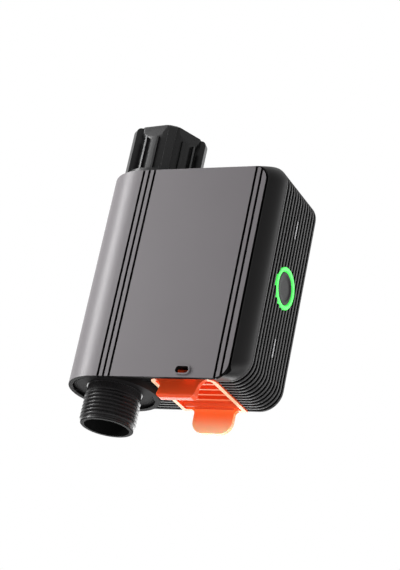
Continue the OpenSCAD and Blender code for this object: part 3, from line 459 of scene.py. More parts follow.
housingSpec = {
    "left": -10.0, "boxLeft": 22.05, "side": 73.2, "bottom": -119.0, "top": -10.1, "lowTop": -15.7,
    "lowReach": 12, "cornerR": 10.5, "stepR": 6.0, "backR": 12.0, "cornerSteps": 14, "plan": (0.01, 5, -130, 0),
    "ribFront": -10.75, "rear": 26.5, "ribCount": 13, "ribShare": 0.52, "ribDepth": 1.2, "ribEdge": 0.3,
    "ribEdgeSteps": 2, "coreInset": 0.2,
    "flareFront": -21.25, "flareRight": 68.8, "flareBottom": -121.0, "flareTop": -15.4, "flareR": 7.5,
    "flareInset": 0.05, "flareLap": 0.01, "swell": 2.0, "swellSteps": 8,
    "sleeveR": 21.75, "pipeBottom": -122.2, "boreR": 16.0, "seatR": 18.07, "seatDeep": 3.7, "linerR": 19.45,
    "endStep": 1.3, "pipeSteps": 128, "bridge": (3, 1, 0.2),
    "rimY": -19.45, "coverRight": 68.5, "coverRoom": (-7.5, 15, 0.15, 4, 7.5), "rollRoom": (-23, -125, -10),
    "rollSteps": 40, "rollStart": 0.01,
    "bay": (22.75, 64.8, -110.4, -18.5), "bayRear": 24.3, "bayRight": 69.8, "bayTop": -13.5,
    "bayR": (0, 5, 7, 2),
    "gasket": (0.5, 1.9, 1.2, 3.0), "gasketStep": 1.2, "bossX": (25.25, 62.2), "bossZ": (-47.9, -21.5),
    "boss": (2.8, -17.45, -13.45), "screwHole": (1.1, 1.5, 2.9),
    "postY": (-2.4, 18.6), "postZ": (-93.05, -40.05), "post": (2.0, 65.8, 0.5), "stemHole": (7.9, -39.66, 2),
    "latch": (23.3, 57.3, -113.4), "pin": (22.3, -116.4, 1.03, 4.0),
    "button": (7.875, -64.55), "ringHole": 10.1, "inlay": (30.2, 9.4, 2.0, 1.2),
    "endSlack": 0.1, "crestFacing": 0.8, "grooveStart": 1, "wallSlack": 0.01, "floorSlack": 0.05,
}


def raisedBox(spec, y0, y1, inset):
    wide, narrow = spec["cornerR"] - inset, spec["stepR"] - inset
    return plateXZ(spec["boxLeft"] + inset, spec["bottom"] + inset, spec["side"] - inset, spec["top"] - inset,
                   y0, y1, (narrow, wide, wide, narrow), spec["cornerSteps"])


def lowBox(spec, y0, y1, inset):
    return plateXZ(spec["left"] + inset, spec["bottom"] + inset, spec["boxLeft"] + spec["lowReach"],
                   spec["lowTop"] - inset, y0, y1)


def ribPitch(spec):
    return (spec["rear"] - spec["ribFront"]) / (spec["ribCount"] - 1 + spec["ribShare"])


def ribsOf(shape, spec):
    pitch = ribPitch(spec)
    ribs = []
    for i in range(spec["ribCount"]):
        y = spec["ribFront"] + i * pitch
        rib = shape(spec, y, y + pitch * spec["ribShare"], 0)
        crest = [edge for edge in rib.edges
                 if abs(edge.verts[0].co.y - edge.verts[1].co.y) < meshSpec["merge"]]
        bmesh.ops.bevel(rib, geom=crest, offset=spec["ribEdge"], affect="EDGES", segments=spec["ribEdgeSteps"],
                        profile=0.5, material=-1)
        ribs.append(rib)
    return joined(*ribs)


def ribbedBlock(spec):
    front, rear = spec["ribFront"] + spec["coreInset"], spec["rear"] - spec["coreInset"]
    deep = spec["ribDepth"]
    bm = carved(raisedBox(spec, front, rear, deep), lowBox(spec, front, rear, deep), "UNION")
    bm = carved(bm, ribsOf(raisedBox, spec), "UNION")
    return carved(bm, ribsOf(lowBox, spec), "UNION")


def between(a, b, share):
    return a + (b - a) * share


def flareBlock(spec):
    bm = bmesh.new()
    loops = []
    inset = spec["flareInset"]
    for i in range(spec["swellSteps"] + 1):
        share = i / spec["swellSteps"]
        out = 1 - (1 - share) ** spec["swell"]  # steep beside the panel, level with the ribs behind
        y = between(spec["flareFront"], spec["ribFront"] + spec["flareLap"], share)
        x0, x1 = spec["boxLeft"] + inset, between(spec["flareRight"], spec["side"] - inset, out)
        z0 = between(spec["flareBottom"], spec["bottom"] + inset, share)
        z1 = between(spec["flareTop"], spec["top"] - inset, share)
        right = between(spec["flareR"], spec["cornerR"], share)
        left = between(spec["flareR"], spec["stepR"], share)
        verts = [bm.verts.new(corner) for corner in ((x0, y, z0), (x1, y, z0), (x1, y, z1), (x0, y, z1))]
        bm.faces.new(verts)
        for vert, radius in zip(verts, (left, right, right, left)):
            bmesh.ops.bevel(bm, geom=[vert], offset=radius, affect="VERTICES", segments=spec["cornerSteps"],
                            profile=0.5, material=-1)
        loops.append([face for face in bm.faces if face not in loops][0])
    loopEdges = [list(face.edges) for face in loops]
    bmesh.ops.delete(bm, geom=loops[1:-1], context="FACES_ONLY")
    for front, back in zip(loopEdges, loopEdges[1:]):
        bmesh.ops.bridge_loops(bm, edges=front + back)
    bmesh.ops.recalc_face_normals(bm, faces=bm.faces)
    return bm


def bayOf(bm, spec):  # bay with its bosses, posts, stem hole and the gasket's groove
    x0, x1, z0, z1 = spec["bay"]
    bm = carved(bm, plateXY(x0, spec["rimY"] - past, x1, spec["bayRear"], z0, z1))
    bm = carved(bm, plateXZ(x0, z0, spec["bayRight"], spec["bayTop"], spec["ribFront"], spec["bayRear"],
                            spec["bayR"]))
    radius, bossFront, bossBack = spec["boss"]
    places = [(x, z) for x in spec["bossX"] for z in spec["bossZ"]]
    bosses = [rod(radius, (x, bossFront, z), (x, bossBack, z), 40) for x, z in places]
    postR, postStart, postRoot = spec["post"]
    posts = [rod(postR, (postStart, y, z), (spec["bayRight"] + postRoot, y, z), 32) for y in spec["postY"]
             for z in spec["postZ"]]
    bm = carved(bm, joined(*bosses, *posts), "UNION")
    screwR, before, behind = spec["screwHole"]
    screwHoles = [rod(screwR, (x, bossFront - before, z), (x, bossFront + behind, z), 24) for x, z in places]
    stemR, stemZ, stemX = spec["stemHole"]
    bm = carved(bm, joined(*screwHoles, rod(stemR, (stemX, 0, stemZ), (x0 + past, 0, stemZ), 64)))
    near, far, deep, outerR = spec["gasket"]
    rim, innerR = spec["rimY"], outerR - spec["gasketStep"]
    outer = plateXZ(x0 - far, z0 - far, x1 + far, z1 + far, rim - past, rim + deep, [outerR] * 4)
    inner = plateXZ(x0 - near, z0 - near, x1 + near, z1 + near, rim - 2 * past, rim + deep + past, [innerR] * 4)
    return carved(bm, carved(outer, inner))


def coverSeat(bm, spec):  # room for the cover's plate and its roll round the pipe
    left, below, above, before, corner = spec["coverRoom"]
    plate = plateXZ(left, spec["pipeBottom"] - below, spec["coverRight"], spec["lowTop"] + above,
                    spec["rimY"] - before, spec["rimY"], (0, 0, corner, 0), spec["cornerSteps"])
    bm = carved(bm, plate)
    front, low, top = spec["rollRoom"]
    back, start = -spec["linerR"], spec["rollStart"]
    roll = prism([(0, front, low), (0, back, low), (0, back, top), (0, front, top)], (-start, 0, 0))
    leftEnd = [face for face in roll.faces if all(vert.co.x < -start / 2 for vert in face.verts)]
    rolled(roll, leftEnd, -90, spec["rollSteps"])
    return carved(bm, roll)


def pipeRoom(spec):  # bore with a seat and a recess at both ends
    low, top = spec["pipeBottom"], spec["lowTop"]
    step, deep = spec["endStep"], spec["seatDeep"]
    liner, seat, bore = spec["linerR"], spec["seatR"], spec["boreR"]
    return turned([(0, low - past), (liner, low - past), (liner, low + step), (seat, low + step),
                   (seat, low + deep), (bore, low + deep), (bore, top - deep), (seat, top - deep),
                   (seat, top - step), (liner, top - step), (liner, top + past), (0, top + past)],
                  spec["pipeSteps"])


def makeHousing(spec):
    lap, beyond, planLow, planTop = spec["plan"]
    plan = plateXY(spec["left"] - lap, spec["ribFront"] - beyond, spec["side"] + beyond, spec["rear"] + lap,
                   planLow, planTop, (0, 0, 0, spec["backR"]), spec["cornerSteps"])
    bm = carved(ribbedBlock(spec), plan, "INTERSECT")
    bm = carved(bm, flareBlock(spec), "UNION")
    sleeve = rod(spec["sleeveR"], (0, 0, spec["pipeBottom"]), (0, 0, spec["lowTop"]), spec["pipeSteps"])
    bm = carved(bm, sleeve, "UNION")
    latchLeft, latchRight, latchTop = spec["latch"]
    right, behind, above = spec["bridge"]
    bridge = plateXY(0, spec["rimY"], spec["boxLeft"] + right, spec["ribFront"] + behind, latchTop + above,
                     spec["lowTop"])
    bm = carved(bm, bridge, "UNION")
    bm = coverSeat(bayOf(bm, spec), spec)
    bm = carved(bm, plateXY(latchLeft, spec["rimY"] - past, latchRight, spec["rear"] + past,
                            spec["pipeBottom"] - past, latchTop))
    pinY, pinZ, pinR, pinGrip = spec["pin"]
    bm = carved(bm, rod(pinR, (latchLeft - pinGrip, pinY, pinZ), (latchRight + pinGrip, pinY, pinZ), 24))
    bm = carved(bm, pipeRoom(spec))
    by, bz = spec["button"]
    side = spec["side"]
    bm = carved(bm, rod(spec["ringHole"], (spec["bayRight"] - past, by, bz), (side + past, by, bz), 96))
    reach, long, deep, wide = spec["inlay"]
    middles = (bz - reach, bz + reach)
    notches = [plateXY(side - deep, by - wide / 2, side + past, by + wide / 2, z - long / 2, z + long / 2)
               for z in middles]
    return carved(bm, joined(*notches))


def onSleeveEnd(center, normal, spec=housingSpec):
    height, slack = center.z - spec["pipeBottom"], spec["endSlack"]
    inRecess = math.hypot(center.x, center.y) < spec["linerR"] + slack and height < spec["endStep"] + slack
    return inRecess or normal.z < -facing and height < slack


def besideBox(center, spec):  # how far a point stands out of the rounded outline of the ribs
    halfX, halfZ = (spec["side"] - spec["boxLeft"]) / 2, (spec["top"] - spec["bottom"]) / 2
    x = abs(center.x - spec["boxLeft"] - halfX) - halfX + spec["cornerR"]
    z = abs(center.z - spec["bottom"] - halfZ) - halfZ + spec["cornerR"]
    return math.hypot(max(x, 0), max(z, 0)) + min(max(x, z), 0) - spec["cornerR"]


# the rib crests, which get the painted highlight
def onRibCrest(center, normal, spec=housingSpec):
    outwards = center.y > spec["ribFront"] and abs(normal.y) < spec["crestFacing"]
    return outwards and abs(besideBox(center, spec)) < spec["ribEdge"]


# the rib grooves' walls and floors, which get painted shade
def inRibGroove(center, normal, spec=housingSpec):
    if not spec["ribFront"] + spec["grooveStart"] < center.y < spec["rear"] - spec["endSlack"]:
        return False
    share = (center.y - spec["ribFront"]) / ribPitch(spec) % 1
    fromWall = min(share, 1 - share, abs(share - spec["ribShare"]))
    onWall = abs(normal.y) > facing and fromWall < spec["wallSlack"]
    return onWall or abs(besideBox(center, spec) + spec["ribDepth"]) < spec["floorSlack"]


makePiece("ribbedHousing", makeHousing(housingSpec), finish["shellDark"], "housing",
          ["rear_housing"], accents=[(finish["endDarkAndPaintedShade"], onSleeveEnd), (finish["ribCrestPaintedLight"], onRibCrest),
                                     (finish["paintedShadeBlack"], inRibGroove)])


# outlet with a right-handed pipe thread

outletSpec = {
    "profile": [(10.7, -139.2), (12.25, -139.2), (12.55, -138.9), (12.55, -138.2), (12.06, -137.7),
                (12.06, -124.9), (12.75, -124.2), (12.75, -120.9), (13.28, -120.9), (13.28, -118.5),
                (15.6, -118.5), (15.6, -115.4), (9.95, -115.4), (9.95, -103.4), (8.2, -103.4), (8.2, -124.6),
                (10.7, -127.9)],
    "threadFlank": [(11.9, -0.88), (12.3, -0.62), (13.05, -0.24), (13.22, -0.1), (13.22, 0.1), (13.05, 0.24),
                    (12.3, 0.62), (11.9, 0.88)],
    "pitch": 1.814, "turns": 7, "start": -137.5, "stepsPerTurn": 72, "steps": 128,
    "mouthR": 10.75, "mouthZ": -138.8, "mouthFacing": 0.5,
}


def makeThread(spec):
    bm = bmesh.new()
    verts = [bm.verts.new((0, radius, spec["start"] + z)) for radius, z in spec["threadFlank"]]
    face = bm.faces.new(verts)
    bmesh.ops.spin(bm, geom=[face] + list(face.verts) + list(face.edges), cent=(0, 0, 0), axis=(0, 0, 1),
                   dvec=(0, 0, spec["pitch"] / spec["stepsPerTurn"]), angle=math.tau * spec["turns"],
                   steps=spec["stepsPerTurn"] * spec["turns"])
    bmesh.ops.recalc_face_normals(bm, faces=bm.faces)
    return bm


# the bore and the mouth's end, which get painted shade
def inMouth(center, normal, spec=outletSpec):
    onEnd = normal.z < -spec["mouthFacing"] and center.z < spec["mouthZ"]
    return onEnd or math.hypot(center.x, center.y) < spec["mouthR"]


outlet = joined(turned(outletSpec["profile"], outletSpec["steps"]), makeThread(outletSpec))
makePiece("outletThread", outlet, finish["threadDark"], "housing", ["outlet_spigot"],
          accents=[(finish["borePaintedShade"], inMouth)])


# winged union nut

nutSpec = {
    "profile": [(9.9, -15.3), (17.7, -15.3), (17.7, -11.8), (14.6, -11.1), (14.6, 7.0), (15.8, 9.4),
                (15.8, 13.0), (12.9, 13.0), (12.06, 12.0), (12.06, 0.0), (12.56, 0.0), (12.56, -5.5),
                (9.9, -5.5)],
    "steps": 120, "wings": 5, "firstTurn": 12, "wing": (13.0, 18.6, -14.9, 12.6), "wingThick": 4.0,
    "wingRound": 2.5,
    "foot": (14.0, 17.2, -14.5, -10.2), "footWide": 5.8, "rib": (13.8, 16.1, -14.3, 6.6), "ribWide": 1.2,
    "ribTurns": (24, 48), "flat": [(15.0, 6.5), (20.0, 6.5), (20.0, 14.0), (14.31, 14.0)], "flatHalf": 11.0,
    "edge": 0.4,
}


def aboutPipe(bm, turn):
    return moved(bm, Matrix.Rotation(math.radians(turn), 4, "Z"))


def standingPlate(box, wide, radii=()):  # plate that stands out from the nut's axis
    r0, r1, z0, z1 = box
    return plateXZ(r0, z0, r1, z1, -wide / 2, wide / 2, radii)


def makeNut(spec):
    bm = turned(spec["profile"], spec["steps"])
    wings, feet, ribs, flats = [], [], [], []
    rounding, reach = (0, 0, spec["wingRound"], 0), spec["flatHalf"]
    for i in range(spec["wings"]):
        turn = spec["firstTurn"] + i * 360 / spec["wings"]
        wings.append(aboutPipe(standingPlate(spec["wing"], spec["wingThick"], rounding), turn))
        feet.append(aboutPipe(standingPlate(spec["foot"], spec["footWide"]), turn))
        flat = prism([(r, -reach, z) for r, z in spec["flat"]], (0, 2 * reach, 0))
        flats.append(aboutPipe(flat, turn + 180 / spec["wings"]))  # the collar is flat from wing to wing
        for ribTurn in spec["ribTurns"]:
            ribs.append(aboutPipe(standingPlate(spec["rib"], spec["ribWide"]), turn + ribTurn))
    for flat in flats:
        bm = carved(bm, flat)
    for added in (ribs, wings, feet):
        bm = carved(bm, joined(*added), "UNION")
    return bm


makePiece("wingNut", makeNut(nutSpec), finish["nutBlack"], "nut", ["inlet_nut"],
          edge=nutSpec["edge"])


# push button, its light ring and the rib inlays

buttonSpec = {
    "y": 7.875, "z": -64.55, "steps": 96,
    "ring": [(8.1, 73.15), (8.35, 73.4), (9.75, 73.4), (10.0, 73.15), (10.0, 69.8), (11.6, 69.8), (11.6, 68.2),
             (9.2, 68.2), (9.2, 71.7), (8.1, 71.7)],
    "cap": [(0.0, 70.1), (8.9, 70.1), (8.9, 71.4), (7.8, 71.4), (7.8, 72.55), (7.68, 72.85), (7.35, 73.0),
            (6.4, 73.0), (6.1, 72.92), (5.9, 72.76), (4.0, 72.72), (0.0, 72.7)],
}


def sideTurned(profile, spec):
    place = Matrix.Translation((0, spec["y"], spec["z"])) @ Matrix.Rotation(math.radians(90), 4, "Y")
    return moved(turned(profile, spec["steps"]), place)


makePiece("lightRing", sideTurned(buttonSpec["ring"], buttonSpec), finish["ringGreen"], "housing",
          ["light_ring"])
makePiece("pushCap", sideTurned(buttonSpec["cap"], buttonSpec), finish["capGrey"], "button",
          ["button_cap"])

inlaySpec = {
    "x": (71.25, 73.2), "y": (7.275, 8.475), "reach": 30.2, "long": 9.4, "middle": -64.55, "edge": 0.25,
}


def makeInlays(spec):
    (x0, x1), (y0, y1), half = spec["x"], spec["y"], spec["long"] / 2
    middles = (spec["middle"] - spec["reach"], spec["middle"] + spec["reach"])
    return joined(*[plateXY(x0, y0, x1, y1, z - half, z + half) for z in middles])


makePiece("ribMarks", makeInlays(inlaySpec), finish["inlayPale"], "housing", ["rib_inlays"],
          edge=inlaySpec["edge"])


# latch: ribbed frame with a front pull and a rear finger tab

latchSpec = {
    "frame": (23.6, -13.05, 57.0, 26.2, -119.4, -115.0), "frameR": (4.5, 4.5, 0.3, 0.3), "rim": 2.2,
    "frontWall": 1.8, "recess": 2.4, "recessR": (2.3, 2.3, 0.6, 0.6), "bars": 4, "barWide": 1.4, "barDrop": 0.8,
    "barRoot": 0.5,
    "tab": (30.5, 51.2), "tabThick": 2.2, "tabEnd": -131.2, "tabR": 6.0, "tabFillet": 2.0, "tabInset": 1.4,
    "rootHigh": 2, "flowY": 19.5, "flowR": 4.45, "flowLap": (0.3, 0.5, 0.6), "flowDrop": 4.8,
    "pull": (30.8, 49.8), "pullEnd": -129.2, "pullSweep": 2.4, "lip": 1.5, "sweepSteps": 7, "pullR": 2.2,
    "lipRound": (0, 0, 1.2, 0.7, 0.4), "pullFillet": 4.45, "pullWing": (2.4, 4.6, 4.8),
    "nose": (42.35, -17.2, 48.25, -12.5, -119.9, -119.55), "pin": (22.3, -116.4), "hingeR": 2.4,
    "pinHole": 1.06, "heel": (24.7, -115.7), "edge": 0.35, "levelSlack": 0.05, "tabSlack": 0.1,
}


def latchFrame(spec):
    x0, y0, x1, y1, z0, z1 = spec["frame"]
    rim, deep, front = spec["rim"], spec["recess"], y0 + spec["frontWall"]
    bm = plateXY(x0, y0, x1, y1, z0, z1, spec["frameR"], 10)
    bm = carved(bm, plateXY(x0 + rim, front, x1 - rim, y1 - rim, z0 - past, z0 + deep, spec["recessR"], 8))
    step, half = (spec["flowY"] - front) / (spec["bars"] + 1), spec["barWide"] / 2
    middles = [front + i * step for i in range(1, spec["bars"] + 1)]
    bars = [plateXY(x0 + rim / 2, y - half, x1 - rim / 2, y + half, z0 + spec["barDrop"],
                    z0 + deep + spec["barRoot"]) for y in middles]
    return carved(bm, joined(*bars), "UNION")


def latchTab(spec):  # tab at the rear, and the curve by which the recess flows into it
    x0, y0, x1, y1, z0, z1 = spec["frame"]
    (t0, t1), thick, end = spec["tab"], spec["tabThick"], spec["tabEnd"]
    inset, root = spec["tabInset"], z0 + spec["rootHigh"]
    outline = [(x0 + inset, root), (x0 + inset, z0), (t0, z0), (t0, end), (t1, end), (t1, z0), (x1 - inset, z0),
               (x1 - inset, root)]
    fillet, radius = spec["tabFillet"], spec["tabR"]
    tab = prism([(x, y1 - thick, z) for x, z in outline], (0, thick, 0), (0, 0, fillet, radius, radius, fillet))
    floor, back = z0 + spec["recess"], y1 - thick
    before, behind, above = spec["flowLap"]
    start, low = spec["flowY"] - before, floor - spec["flowDrop"]
    section = [(start, floor + above), (back + behind, floor + above), (back + behind, low), (back, low),
               (back, floor), (start, floor)]
    flow = prism([(t0, y, z) for y, z in section], (t1 - t0, 0, 0), (0, 0, 0, 0, spec["flowR"]), 10)
    return tab, flow


def latchPull(spec):  # pull at the front, swept forwards to its lip, and its fillets on the frame
    x0, y0, x1, y1, z0, z1 = spec["frame"]
    (p0, p1), thick, end = spec["pull"], spec["tabThick"], spec["pullEnd"]
    root, steps, radius = z0 + spec["rootHigh"], spec["sweepSteps"], spec["pullR"]
    lipTop, lipFront = end + spec["lip"], y0 - spec["pullSweep"]
    shares = [i / steps for i in range(steps, -1, -1)]
    sweep = [(y0 - spec["pullSweep"] * share ** 2, between(z0, lipTop, share)) for share in shares]
    section = [(y0, root), (y0 + thick, root), (y0 + thick, end), (lipFront, end)] + sweep
    pull = prism([(p0, y, z) for y, z in section], (p1 - p0, 0, 0), spec["lipRound"], 6)
    face = plateXZ(p0, end, p1, root + past, lipFront - past, y0 + thick + past, (radius, radius), 10)
    inset, reach, drop = spec["pullWing"]
    outline = [(x0 + inset, root), (p0 - reach, z0), (p0, z0), (p0, z0 - drop), (p1, z0 - drop), (p1, z0),
               (p1 + reach, z0), (x1 - inset, root)]
    fillet = spec["pullFillet"]
    wing = prism([(x, y0, z) for x, z in outline], (0, thick, 0), (0, 0, fillet, 0, 0, fillet))
    return carved(pull, face, "INTERSECT"), wing


def makeLatch(spec):
    x0, y0, x1, y1, z0, z1 = spec["frame"]
    bm = latchFrame(spec)
    nx0, ny0, nx1, ny1, nz0, nz1 = spec["nose"]
    py, pz = spec["pin"]
    nose = plateXY(nx0, ny0, nx1, ny1, nz0, nz1)
    hinge = rod(spec["hingeR"], (x0, py, pz), (x1, py, pz), 48)
    for added in (*latchTab(spec), *latchPull(spec), nose, hinge):
        bm = carved(bm, added, "UNION")
    bm = carved(bm, rod(spec["pinHole"], (x0 - past, py, pz), (x1 + past, py, pz), 32))
    heelY, heelZ = spec["heel"]
    return carved(bm, plateXY(x0 - past, heelY, x1 + past, y1 + past, heelZ, z1 + past))


def underFrame(center, spec):
    return spec["frame"][4] - center.z


# the rim's underside, which gets painted light
def onRim(center, normal, spec=latchSpec):
    return normal.z < -facing and abs(underFrame(center, spec)) < spec["levelSlack"]


# the bars' undersides, which get painted light
def onBar(center, normal, spec=latchSpec):
    return normal.z < -facing and abs(underFrame(center, spec) + spec["barDrop"]) < spec["levelSlack"]


# the tab, whose finish paints light paling and glowing towards its end
def onTab(center, normal, spec=latchSpec):
    return center.y > spec["flowY"] and underFrame(center, spec) > spec["tabSlack"]


makePiece("orangeLatch", makeLatch(latchSpec), finish["latchOrange"], "latch", ["latch_lever"],
          edge=latchSpec["edge"], accents=[(finish["latchRimPaintedLight"], onRim), (finish["latchBarPaintedLight"], onBar),
                                           (finish["latchTab"], onTab)])


# battery cells with their springs and tray

cellSpec = {
    "x": (32.1, 47.1), "y": (-10.4, 4.6), "base": -104.0,
    "profile": [(0, 0), (4.6, 0), (4.9, 0.25), (5.6, 0.3), (6.7, 0.3), (7.1, 0.55), (7.25, 1.0), (7.25, 38.5),
                (7.25, 47.4), (7.25, 48.2), (7.1, 48.8), (6.6, 49.15), (5.8, 49.2), (5.6, 49.0), (3.2, 49.0),
                (2.9, 49.15), (2.7, 49.4), (2.7, 50.2), (2.45, 50.5), (0, 50.5)],
    "band": (38.5, 47.4), "skin": (0.28, 49.22), "skinEdge": 5.65, "steps": 48,
}
cellPlaces = [(x, y) for x in cellSpec["x"] for y in cellSpec["y"]]


def fromCell(center):
    x, y = min(cellPlaces, key=lambda place: math.hypot(center.x - place[0], center.y - place[1]))
    return math.hypot(center.x - x, center.y - y), center.z - cellSpec["base"]


def onCellEnd(center, normal, spec=cellSpec):
    radius, height = fromCell(center)
    return radius < spec["skinEdge"] or not spec["skin"][0] < height < spec["skin"][1]


def onCellBand(center, normal, spec=cellSpec):
    return spec["band"][0] < fromCell(center)[1] < spec["band"][1]


cells = [moved(turned(cellSpec["profile"], cellSpec["steps"]), Matrix.Translation((x, y, cellSpec["base"])))
         for x, y in cellPlaces]
makePiece("batteryCells", joined(*cells), finish["cellSleeve"], "housing", ["battery_cells"],
          accents=[(finish["cellBand"], onCellBand), (finish["steel"], onCellEnd)])

springSpec = {
    "base": -108.5, "high": 4.5, "wireR": 0.4, "wireSides": 10, "lowR": 4.6, "topR": 2.6, "turns": 4,
    "stepsPerTurn": 36,
}


def makeSpring(spec):
    bm = bmesh.new()
    bmesh.ops.create_circle(bm, cap_ends=True, segments=spec["wireSides"], radius=spec["wireR"])
    moved(bm, Matrix.Translation((spec["lowR"], 0, spec["wireR"])) @ Matrix.Rotation(math.radians(90), 4, "X"))
    steps = spec["turns"] * spec["stepsPerTurn"]
    rise = (spec["high"] - 2 * spec["wireR"]) / steps
    bmesh.ops.spin(bm, geom=bm.verts[:] + bm.edges[:] + bm.faces[:], cent=(0, 0, 0), axis=(0, 0, 1),
                   dvec=(0, 0, rise), angle=math.tau * spec["turns"], steps=steps)
    for vert in bm.verts:  # the coil narrows towards the cell
        narrow = between(1, spec["topR"] / spec["lowR"], vert.co.z / spec["high"])
        vert.co.x *= narrow
        vert.co.y *= narrow
    bmesh.ops.recalc_face_normals(bm, faces=bm.faces)
    return bm


springs = [moved(makeSpring(springSpec), Matrix.Translation((x, y, springSpec["base"])))
           for x, y in cellPlaces]
makePiece("cellSprings", joined(*springs), finish["steel"], "housing", ["battery_springs"])

traySpec = {
    "box": (23.05, -18.25, 56.15, 13.85, -110.1, -51.1), "wall": 1.6, "corner": 1.2, "footR": 3.0,
    "footX": (28.05, 51.15), "footZ": (-105.1, -56.1), "footY": (13.35, 24.3), "thumbZ": -80.6, "thumbR": 9.0,
    "thumbDeep": 6.0, "edge": 0.4,
}


def makeTray(spec):
    x0, y0, x1, y1, z0, z1 = spec["box"]
    wall, corner = spec["wall"], spec["corner"]
    bm = plateXZ(x0, z0, x1, z1, y0, y1, [corner] * 4, 6)
    bm = carved(bm, plateXZ(x0 + wall, z0 + wall, x1 - wall, z1 - wall, y0 - past, y1 - wall))
    y, z = y0 - spec["thumbR"] + spec["thumbDeep"], spec["thumbZ"]  # hollows to take a cell out by
    bm = carved(bm, rod(spec["thumbR"], (x0 - past, y, z), (x1 + past, y, z), 64))
    footTop, footEnd = spec["footY"]
    feet = [rod(spec["footR"], (x, footTop, z), (x, footEnd, z), 40) for x in spec["footX"]
            for z in spec["footZ"]]
    return carved(bm, joined(*feet), "UNION")


makePiece("cellTray", makeTray(traySpec), finish["innerPlastic"], "housing", ["battery_tray"],
          edge=traySpec["edge"])


# inner lid and its cross-head screws

lidSpec = {
    "plate": (22.95, -50.7, 64.6, -18.7, -18.95, -17.45), "corner": 1.0, "holeR": 1.3, "holeX": (25.25, 62.2),
    "holeZ": (-47.9, -21.5), "field": (28.8, -46.6, 58.7, -22.8), "fieldR": 2.0, "fieldDeep": 0.5, "edge": 0.2,
    "screw": [(0, 0), (1.1, 0), (1.65, 0.12), (1.92, 0.36), (2.0, 0.8), (1.1, 0.8), (1.1, 4.35), (0.75, 4.7),
              (0, 4.7)],
    "screwSteps": 40, "headFront": -19.75, "crossLong": 2.5, "crossWide": 0.55, "crossDeep": 0.55,
}


def makeLid(spec):
    x0, z0, x1, z1, y0, y1 = spec["plate"]
    bm = plateXZ(x0, z0, x1, z1, y0, y1, [spec["corner"]] * 4, 6)
    fx0, fz0, fx1, fz1 = spec["field"]
    bm = carved(bm, plateXZ(fx0, fz0, fx1, fz1, y0 - past, y0 + spec["fieldDeep"], [spec["fieldR"]] * 4, 6))
    holes = [rod(spec["holeR"], (x, y0 - past, z), (x, y1 + past, z), 32) for x in spec["holeX"]
             for z in spec["holeZ"]]
    return carved(bm, joined(*holes))


def makeLidScrews(spec):
    front, reach, half = spec["headFront"], spec["crossLong"] / 2, spec["crossWide"] / 2
    before, deep = front - past, front + spec["crossDeep"]
    screws, level, upright = [], [], []
    for x in spec["holeX"]:
        for z in spec["holeZ"]:
            stand = Matrix.Translation((x, front, z)) @ Matrix.Rotation(math.radians(-90), 4, "X")
            screws.append(moved(turned(spec["screw"], spec["screwSteps"]), stand))
            level.append(plateXZ(x - reach, z - half, x + reach, z + half, before, deep))
            upright.append(plateXZ(x - half, z - reach, x + half, z + reach, before, deep))
    bm = carved(joined(*screws), joined(*level))
    return carved(bm, joined(*upright))


makePiece("innerLid", makeLid(lidSpec), finish["innerPlastic"], "housing", ["inner_lid"],
          edge=lidSpec["edge"])
makePiece("lidScrews", makeLidScrews(lidSpec), finish["steel"], "housing", ["lid_screws"])


# inner pieces keep the frame's shape and get their finish

finishBySlot = {
    "end_dark": "endDarkAndPaintedShade", "body_plastic": "bodyPlastic", "inner_plastic": "innerPlastic",
    "white_plastic": "whitePlastic", "rubber_black": "rubberBlack", "switch_black": "switchBlack",
    "brass": "brass", "steel": "steel", "ball_chrome": "ballChrome", "motor_metal": "motorMetal",
    "shield_metal": "shieldMetal", "board_green": "boardGreen", "cell_skin": "cellSleeve",
}
for subpart in frame["record"]["subparts"]:
    chosen = finishBySlot.get(subpart["material_slot"])
    if chosen:
        nodes[subpart["node"]].data.materials.clear()
        nodes[subpart["node"]].data.materials.append(finish[chosen])
print("inner pieces finished")


# camera, light and floor

cameraSpec = {
    "place": (0.42560, -0.69557, -0.40018), "turn": (113.139, -11.042, 24.773), "lens": 116.59, "sensor": 36.0,
}
cameraData = bpy.data.cameras.new("photoCamera")
cameraData.lens = cameraSpec["lens"]
cameraData.sensor_width = cameraSpec["sensor"]
photoCamera = bpy.data.objects.new("photoCamera", cameraData)
photoCamera.location = cameraSpec["place"]
photoCamera.rotation_euler = [math.radians(angle) for angle in cameraSpec["turn"]]
scene.collection.objects.link(photoCamera)
scene.camera = photoCamera

lampSpecs = {  # turn is counted from the front towards the button, rise is above level
    "leftStrip": {"turn": -63, "rise": 4, "away": 0.5, "wide": 0.1, "high": 0.57, "power": 3.1},
    "frontSoft": {"turn": -50, "rise": 18, "away": 0.55, "wide": 0.4, "high": 0.4, "power": 1.75},
    "backRight": {"turn": 150, "rise": 14, "away": 0.9, "wide": 0.6, "high": 0.8, "power": 2.6},
    "lowBack": {"turn": -152, "rise": -24, "away": 0.6, "wide": 0.5, "high": 0.4, "power": 2.6},
    "lowRight": {"turn": 104, "rise": -34, "away": 0.42, "wide": 0.3, "high": 0.3, "power": 1.2},
    "lowFront": {"turn": 14, "rise": -50, "away": 0.6, "wide": 0.4, "high": 0.4, "power": 1.3},
}
aim = Vector((0.02, 0.0, -0.065))  # middle of the valve
for name, spec in lampSpecs.items():
    turn, rise = math.radians(spec["turn"]), math.radians(spec["rise"])
    away = Vector((math.sin(turn) * math.cos(rise), -math.cos(turn) * math.cos(rise), math.sin(rise)))
    lampData = bpy.data.lights.new(name, "AREA")
    lampData.shape = "RECTANGLE"
    lampData.size = spec["wide"]
    lampData.size_y = spec["high"]
    lampData.energy = spec["power"]
    lamp = bpy.data.objects.new(name, lampData)
    lamp.location = aim + away * spec["away"]
    lamp.rotation_euler = (-away).to_track_quat("-Z", "Y").to_euler()
    scene.collection.objects.link(lamp)


